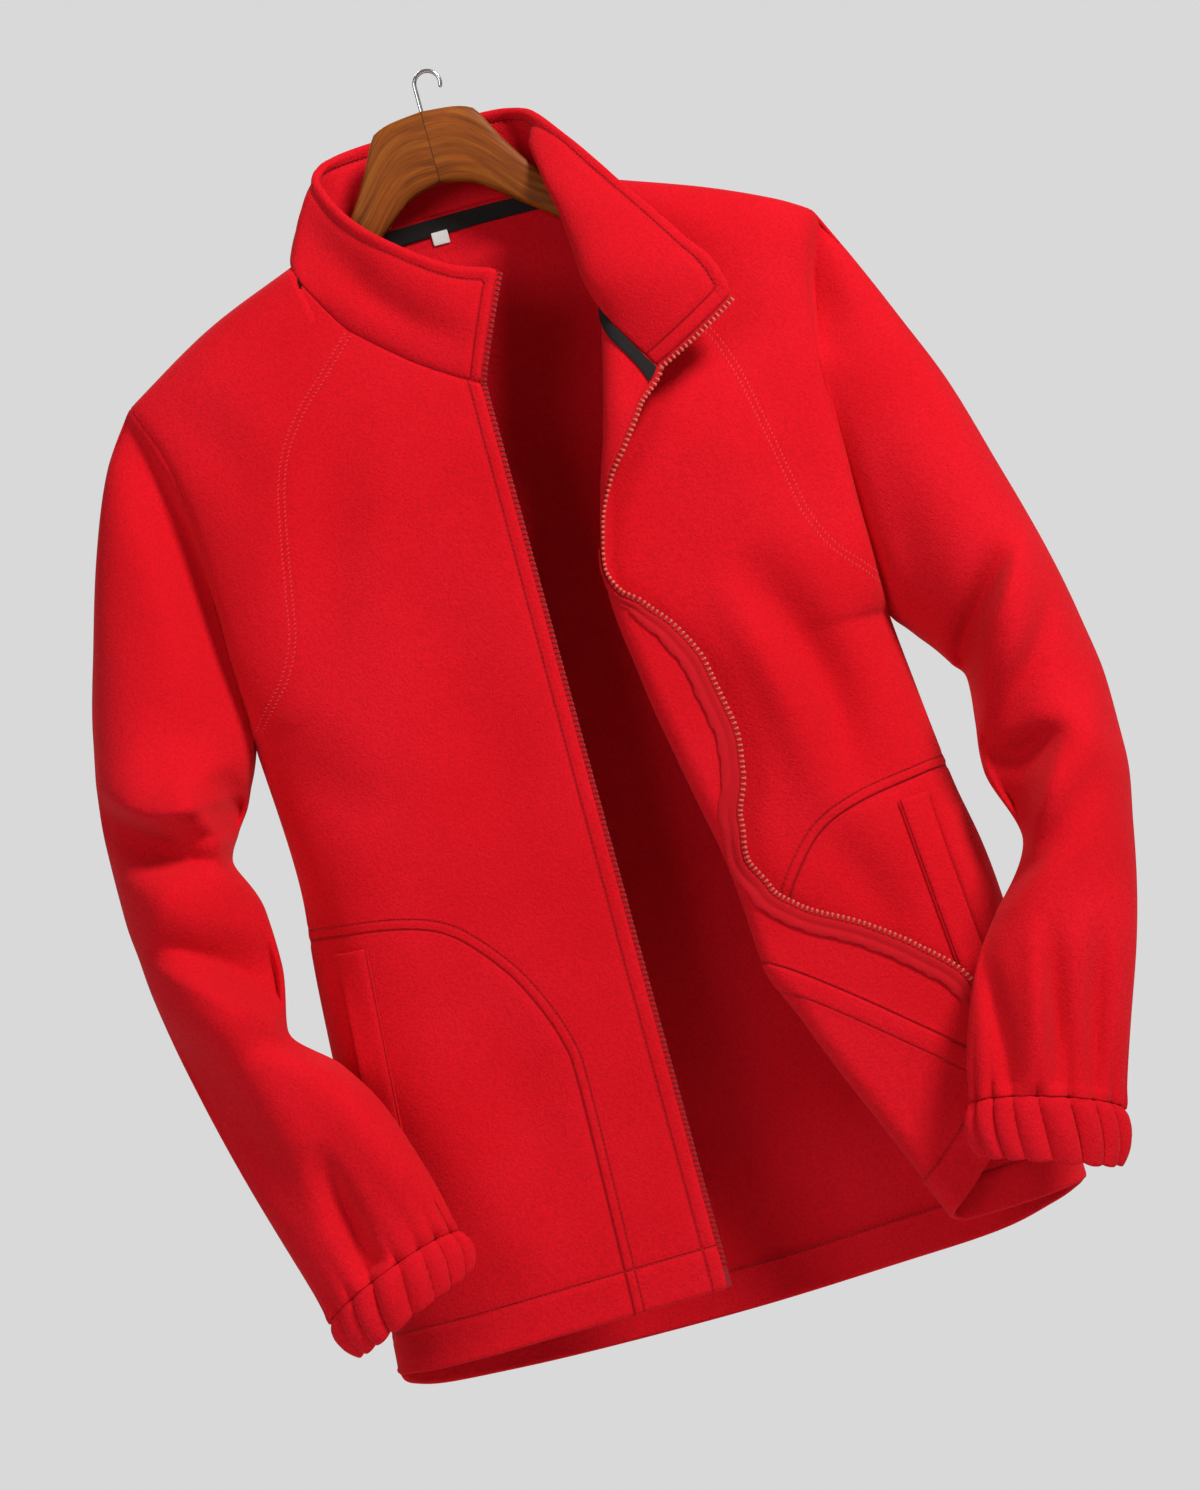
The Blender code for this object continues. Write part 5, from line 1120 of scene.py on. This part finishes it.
def collar_panel(left, right):
    """A stand collar: right front, back and turned-out left front, each row bent from its foot to its top."""
    near, behind, far = (np.arange(count + 1) / count for count in COLLAR_COLUMNS)
    across, drop = along(left.neckline, near).T
    depth = left.depth(across, drop, front_full(drop))
    depth[-1] = 0
    feet = [np.stack([-across, -depth, drop], axis=1)]
    across, drop = along(back_neck(left, right), behind[1:-1]).T
    feet.append(np.stack([across, back_depth(left, right, across, drop), drop], axis=1))
    feet.append(turned(right, *along(right.neckline, far[::-1]).T))
    feet[-1][0, 1] = 0
    foot, where = np.vstack(feet), np.concatenate([near, 1 + behind[1:-1], 3 - far[::-1]])
    stay = columns_of(COLLAR, where)
    mid, top = stay[:, :3], stay[:, 3:]
    pull = 2 * mid - (foot + top) / 2
    t = (np.arange(COLLAR_ROWS + 1) / COLLAR_ROWS)[:, None, None]
    grid = (1 - t) ** 2 * foot + 2 * t * (1 - t) * pull + t * t * top
    flat = flat_grid(where * 150, np.arange(COLLAR_ROWS + 1) * 2.4)
    panel = Panel("collar", grid, flat, (12, 20, (0, -1, 0)), thickness=COLLAR_CLOTH)
    panel.edge = edge = panel.from_row()
    ends = np.minimum(panel.from_column(), panel.from_column()[:, -1:] - panel.from_column())
    to_edge, to_end = edge / 8.0, ends / 7.0
    corner = np.minimum(to_edge, to_end) - 0.5 * np.maximum(0.5 - np.abs(to_edge - to_end), 0) ** 2
    topstitch = 7.5 * (corner - 1)
    for side in (panel.outer, panel.inner):
        side += -0.9 * bump(topstitch, 2.6) + 0.9 * bump(edge - 3.0, 4.0) * ease(ends / 6)
    panel.mark("line", topstitch)
    panel.sink_rims(depth=0.8, width=3.5)
    return panel


# ---- zip

class Edge:
    """Frames along the zip edge of one front and its collar, from the collar's top down to the hem."""

    def __init__(self, collar, column, front):
        beside = column + (1 if column == 0 else -1)
        self.places, inner = (np.vstack([collar.whole[:0:-1, c], front.whole[:, f]])
                              for c, f in ((column, 0), (beside, 1)))
        self.normals = np.vstack([collar.normals_of(collar.whole)[:0:-1, column],
                                  front.normals_of(front.whole)[:, 0]])
        self.outs = unit(self.places - inner)
        self.length = lengths(self.places)

    def at(self, marks):
        """Places, ways out of the cloth, outer normals and ways down."""
        place, before, after = (at_lengths(self.places, self.length, marks + m) for m in (0, -2, 2))
        out, normal = (at_lengths(v, self.length, marks) for v in (self.outs, self.normals))
        down = unit(after - before)
        out = unit(without(out, down))
        slack = CLOTH / 2 * np.abs((unit(normal) * out).sum(1, keepdims=True))
        return place + out * slack, out, unit(without(normal, down, out)), down


def strip(name, frames, reaches, heights, thickness):
    """A thin tape along frames: how far out of the cloth and over it, for each column."""
    place, out, normal, _ = frames
    grid = np.stack([place + out * r[:, None] + normal * h[:, None]
                     for r, h in zip(*np.broadcast_arrays(reaches, heights))], axis=1)
    half = np.full(grid.shape[:2], thickness / 2)
    points, quads, _ = shell(grid, grid_normals(grid), half, half)
    make_object(name, points, [quads], ZIP_TAPE)


def teeth(name, edge, marks, outer, material):
    """A row of moulded teeth along a zip edge, with a stem in the tape and a wider head."""
    place, out, normal, down = edge.at(marks)
    inner = outer - 3.2
    rings = [(inner, 0.35, 0.7), (inner + 0.15, 0.62, 1.15), (outer - 1.9, 0.55, 1.15),
             (outer - 1.2, 0.85, 1.2), (outer - 0.25, 0.85, 1.05), (outer, 0.5, 0.6)]
    form = []
    for reach, long, high in rings:
        for a in circle(TOOTH_SIDES, 0.5):
            c, s = (math.copysign(abs(v) ** 0.6, v) for v in (math.cos(a), math.sin(a)))
            form.append(place + out * reach + down * long * 1.08 * c + normal * high * s)
    cap = np.array([(0, 1, 2, 3), (0, 3, 4, 7), (4, 5, 6, 7)])
    sides = grid_quads(len(rings), TOOTH_SIDES, True)
    points, faces = copies(form, np.vstack([sides, cap[:, ::-1], cap + (len(rings) - 1) * TOOTH_SIDES]))
    return make_object(name, points, [faces], material)


def zip_half(side, edge, end, width, reach):
    """The tape and the teeth along one edge."""
    marks = np.linspace(ZIP_START, end, 330)
    reaches = np.array([0.3, 1.2, 2.2, width])[:, None] * np.ones(len(marks))
    strip("zip_tape_" + side, edge.at(marks), reaches, 0.0, 0.9)
    # Each edge's teeth take their own copy of the colour, with painted shade or painted light in it.
    row = teeth("zip_teeth_" + side, edge, np.arange(ZIP_START + 1, end - 1, TOOTH_PITCH), reach, TEETH_SHADED_AND_LIT[side])
    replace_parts(row, "zip_" + side)


def zip_facing(edge, end):
    """The puckered tape that shows on the turned-out front's inner face."""
    marks = np.linspace(FACING_START, end, 300)
    grow = 0.35 + 0.65 * ease((marks - FACING_START) / 90)
    wave = np.sin(marks / 3.1) * 0.5 + np.sin(marks / 1.7 + 1) * 0.35
    reaches = [-r * grow + (0.9 * wave if r > 10 else 0) for r in (0, 1.5, 3, 4.2, 5, 5.8, 7, 8.6, 10.4)]
    rise = (0.75, 0.85, 0.85, 0.35, 0.3, 0.4, 1.0, 1.2, 1.0)
    heights = [-(CLOTH / 2 + r) - (0.35 if k > 6 else 0) * wave for k, r in enumerate(rise)]
    strip("zip_facing_left", edge.at(marks), reaches, heights, 0.8)


# ---- small parts

def welt_panel(name, panel):
    """A padded strip over a pocket's mouth, bowed at its free side."""
    rows, columns = 60, 12
    a, b, c, d = (np.array(p, float) for p in WELT)
    u, v = np.linspace(0, 1, columns + 1)[None, :, None], np.linspace(0, 1, rows + 1)[:, None, None]
    flat = (a * (1 - u) + b * u) * (1 - v) + (d * (1 - u) + c * u) * v
    flat = flat - np.array([3.4, 0]) * (1 - u) * np.sin(math.pi * v) ** 0.5
    places, ways = panel.sample(flat.reshape(-1, 2))
    lift = 0.5 + 1.6 * ease(4 * (1 - u)) + 2.6 * (1 - u) ** 3 * np.sin(math.pi * v)
    grid = (places + ways * lift.reshape(-1, 1)).reshape(rows + 1, columns + 1, 3)
    welt = Panel(name, grid, flat, (rows // 2, columns // 2, (0, -1, 0)), thickness=1.8)
    welt.mark("line", welt.from_column()[:, -1:] - welt.from_column() - 0.6)
    return welt


def neck_tape_panel(front_r, back, front_l):
    """The tape inside the neck, from one front's zip round the back to the other's."""
    columns = [(front_r, range(front_r.neck - 1)),
               (back, range(SHOULDER_COLUMNS + 2, SHOULDER_COLUMNS + BACK_NECK_COLUMNS - 1)),
               (front_l, range(front_l.neck - 2, -1, -1))]
    lines = [np.hstack([panel.whole[:40, j], panel.normals_of(panel.whole)[:40, j]])
             for panel, which in columns for j in which]
    marks = np.array([1.5, 4, 7, 10, 13])
    here = np.stack([at_lengths(line, lengths(line[:, :3]), marks) for line in lines], axis=1)
    grid = here[..., :3] - unit(here[..., 3:]) * (CLOTH / 2 + 0.8)
    return Panel("neck_tape", grid, grid[..., :2], (2, 60, (0, 1, 0)), thickness=1.0)


def label_panel(back):
    """A bare label on the back's inner side."""
    count = 13
    flat = np.stack(np.meshgrid(np.linspace(-15, -4, count), np.linspace(66.5, 76.5, count)), axis=-1)
    places, ways = back.sample(flat.reshape(-1, 2), -1)
    lift = np.repeat(0.8 + 0.5 * np.sin(np.linspace(0, math.pi, count)), count)
    grid = (places + ways * lift[:, None]).reshape(count, count, 3)
    return Panel("size_label", grid, flat, (6, 6, (0, -1, 0)), thickness=0.6)


# ---- hanger

def hanger_object(left, right):
    stations = []
    for sign, outline in ((-1, left), (1, right)):
        rows = [w if w.top is not None else
                w._replace(top=float(outline.shoulder_drop(w.across)) + HANGER_CLEAR) for w in HANGER]
        here = [(sign * a, *columns_of(rows, a)) for a in np.linspace(0, HANGER[-1].across, 49)]
        tip, top, bottom, half = here[-1]
        middle = (top + bottom) / 2
        for out, size in ((2.5, 0.96), (4.5, 0.86), (6.0, 0.72), (7.0, 0.5)):
            here.append((tip + sign * out, middle + (top - middle) * size + out * 0.45,
                         middle + (bottom - middle) * size + out * 0.45, half * size))
        stations += here[::-1] if sign < 0 else here[1:]
    across, top, bottom, half = np.array(stations, float).T[:, :, None]
    angle, away, middle = circle(HANGER_SIDES), np.abs(across), (top + bottom) / 2
    up, side = np.cos(angle), np.sin(angle)
    blend = ease((away - 75) / 50)
    y = half * np.sign(side) * np.abs(side) ** (0.42 + 0.38 * blend)
    drop = middle - (bottom - top) / 2 * np.sign(up) * np.abs(up) ** (0.62 + 0.28 * blend)
    lean = away * np.where(across < 0, 0.07, 0.03)
    grid = np.stack(np.broadcast_arrays(across, y, drop), axis=-1)
    marks = {"arm": away + 0.45 * (drop - middle), "side": grid[..., 0],
             "height": drop - 0.72 * away * ease(away / 60) - 0.25 * y + lean}
    marks = {k: np.concatenate([v.ravel(), [v[0].mean(), v[-1].mean()]]) for k, v in marks.items()}
    points = np.vstack([grid.reshape(-1, 3), grid[0].mean(0), grid[-1].mean(0)])
    centre, last = grid[..., 0].size, grid[:-1, :, 0].size
    j = np.arange(HANGER_SIDES)
    k = np.roll(j, -1)
    faces = [grid_quads(len(grid), HANGER_SIDES, True),
             np.stack([k, j, np.full_like(j, centre)], axis=1),
             np.stack([last + j, last + k, np.full_like(j, centre + 1)], axis=1)]
    return make_object("hanger_wood", points, faces, WOOD, marks)


def hook_object():
    """The hook: one bent wire that goes into the wood."""
    start = HANGER[0].top
    route = [(HOOK_FOOT, start + 1.0), (HOOK_FOOT, start - 2), (HOOK_FOOT, start - 6)]
    for a in np.radians(np.linspace(180, -30, 37)):
        route.append((HOOK_ACROSS + HOOK_BEND * math.cos(a), HOOK_TOP + 7.0 - HOOK_BEND * math.sin(a)))
    route = along(np.array(route), np.linspace(0, 1, 70))
    (across, drop), (dx, dd) = route.T[:, :, None], unit(np.gradient(route, axis=0)).T[:, :, None]
    size = np.full((len(route), 1), HOOK_WIRE)
    size[-2:, 0] *= 0.9, 0.6
    angle = circle(HOOK_SIDES)
    swing = size * np.cos(angle)
    points = np.stack([across - dd * swing, size * np.sin(angle), drop + dx * swing], axis=-1).reshape(-1, 3)
    end = np.arange(HOOK_SIDES)
    ends = np.stack([end[::-1], len(points) - HOOK_SIDES + end])
    return make_object("hook_wire", points, [grid_quads(len(route), HOOK_SIDES, True), ends], STEEL)


# ---- everything

def stitch_front(panel, sign):
    seams, dark = Sewing(panel), Sewing(panel)
    yoke = yoke_line(sign)
    inner, outer = STITCH_ACROSS
    yoke = yoke[(yoke[:, 0] > inner) & (yoke[:, 0] < outer)]
    for offset in (-2.0, 2.0):
        seams.line(shifted(yoke, offset), slant=0.75, length=2.3, pitch=3.0, radius=0.38)
    pocket = smooth_line(POCKET_SEAM)
    pocket = pocket[(pocket[:, 0] < outer) & (pocket[:, 1] < STITCH_FOOT)]
    dark.line(shifted(pocket, -BAND), length=2.0, radius=0.3, lift=-0.05)
    dark.both_sides(hem_line(panel, panel.hem, HEM))
    dark.line(level_line(panel.side, panel.flat, ZIP_CHANNEL), radius=0.3)
    seams.build("_seam_stitches", THREAD)
    dark.build("_topstitches", THREAD_DARK)


def stitch_edge(panel, field, value, **options):
    sewing = Sewing(panel)
    sewing.both_sides(hem_line(panel, field, value), **options)
    sewing.build("_topstitches", THREAD_DARK)


def in_place(panel, flat, nodes, material=FLEECE, slot="fleece"):
    """Makes a panel's object in place of its nodes. flat is its size on the flat cut in metres."""
    obj = panel.build(material, slot)
    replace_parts(obj, *nodes)
    return obj, flat, panel


def build():
    left, right = Outline(VIEW_LEFT), Outline(VIEW_RIGHT)
    front_r = front_panel(left, "front_right", False)
    front_l = front_panel(right, "front_left", True)
    back = back_panel(left, right)
    sleeve_r = sleeve_panel("sleeve_right", left, SLEEVE_VIEW_LEFT)
    sleeve_l = sleeve_panel("sleeve_left", right, SLEEVE_VIEW_RIGHT)
    cuff_r = cuff_panel("cuff_right", sleeve_r.last_ring, -1)
    cuff_l = cuff_panel("cuff_left", sleeve_l.last_ring, 1)
    collar = collar_panel(left, right)
    sheets = [
        in_place(front_r, (0.302, 0.72), ["front_right", "yoke_right", "pocket_right"]),
        in_place(front_l, (0.30, 0.73), ["front_left", "yoke_left", "pocket_left"]),
        in_place(back, (0.511, 0.75), ["back"]),
        in_place(sleeve_r, (0.50, 0.63), ["sleeve_right"]),
        in_place(sleeve_l, (0.57, 0.645), ["sleeve_left"]),
        in_place(cuff_r, (0.32, 0.033), ["cuff_right"], FLEECE_RIB),
        in_place(cuff_l, (0.32, 0.041), ["cuff_left"], FLEECE_RIB),
        in_place(collar, (0.54, 0.087), ["collar"])]
    stitch_front(front_r, -1)
    stitch_front(front_l, 1)
    stitch_edge(back, back.hem, HEM)
    stitch_edge(collar, collar.edge, 8.0, length=2.3, radius=0.34)
    for name, front in (("welt_right", front_r), ("welt_left", front_l)):
        sheets.append(in_place(welt_panel(name, front), (0.026, 0.14), [name]))

    edge_r, edge_l = Edge(collar, 0, front_r), Edge(collar, -1, front_l)
    left_end = edge_l.length[-1] - ZIP_FOOT - SLIDER_ROOM
    zip_half("right", edge_r, edge_r.length[-1] - ZIP_FOOT, 3.2, 4.0)
    zip_half("left", edge_l, left_end, 3.4, 4.7)
    zip_facing(edge_l, left_end)

    tape = neck_tape_panel(front_r, back, front_l)
    sheets.append(in_place(tape, (0.551, 0.012), ["neck_tape"], NECK_TAPE, "neck_tape"))
    sheets.append(in_place(label_panel(back), (0.011, 0.010), ["size_label"], LABEL, "label"))
    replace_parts(hanger_object(left, right), "hanger")
    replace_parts(hook_object(), "hook")
    for obj, (width, length), panel in sheets:
        min(panel.area(), width * length)
    for node in ("zip_box", "zip_pin", "zip_slider", "zip_pull"):
        obj = frame["nodes"][node]
        obj.data.materials.clear()
        obj.data.materials.append(PAINTED)


def stage_plane(name, corners, material):
    mesh = bpy.data.meshes.new(name)
    mesh.from_pydata(corners, [], [(0, 1, 2, 3)])
    add_object(name, mesh, material)


def turn_to(obj, way, roll=0.0):
    obj.rotation_mode = "QUATERNION"
    obj.rotation_quaternion = Vector(way).to_track_quat("-Z", "Y") @ Quaternion((0, 0, 1), math.radians(roll))


def area_light(name, place, size, power):
    light = bpy.data.lights.new(name, "AREA")
    light.shape, light.size, light.energy = "DISK", size, power
    obj = add_object(name, light)
    obj.location = place
    turn_to(obj, Vector((0, 0, -0.42)) - Vector(place))


def studio():
    scene, grey = bpy.context.scene, (0.694, 0.694, 0.694, 1)
    pale = bpy.data.materials.new("backdrop")
    pale.use_nodes = True
    nodes = pale.node_tree.nodes
    nodes.remove(nodes["Principled BSDF"])
    glow = nodes.new("ShaderNodeEmission")
    glow.inputs["Color"].default_value = grey
    pale.node_tree.links.new(glow.outputs[0], nodes["Material Output"].inputs["Surface"])
    stage_plane("backdrop", [(-9, 6, -8), (9, 6, -8), (9, 6, 8), (-9, 6, 8)], pale)
    floor = Shader("floor")
    floor.set(Base_Color=(0.7, 0.7, 0.7), Roughness=0.9)
    stage_plane("floor", [(-4, -4, -1.6), (4, -4, -1.6), (4, 2, -1.6), (-4, 2, -1.6)], floor.material)
    scene.world = bpy.data.worlds.new("studio")
    scene.world.use_nodes = True
    around = scene.world.node_tree.nodes["Background"].inputs
    around["Color"].default_value, around["Strength"].default_value = grey, 0.22
    area_light("key", (1.7, -1.7, 1.5), 0.8, 96)
    area_light("fill", (-1.5, -2.4, 0.5), 1.4, 24)
    area_light("rear", (-1.0, 3.2, 2.4), 1.2, 45)

    camera = add_object("camera", bpy.data.cameras.new("camera"))
    camera.data.sensor_fit, camera.data.sensor_width = "AUTO", SENSOR
    camera.data.lens = SENSOR * CAMERA_AWAY / (PIXEL * PICTURE_HEIGHT)
    camera.location = world(CAMERA_AIM) - np.array([0, CAMERA_AWAY * MM, 0])
    turn_to(camera, (0, 1, 0), -ROLL_DEG)
    scene.camera = camera
    scene.view_settings.view_transform = "Standard"
    scene.view_settings.look = "None"


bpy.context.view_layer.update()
build()
studio()
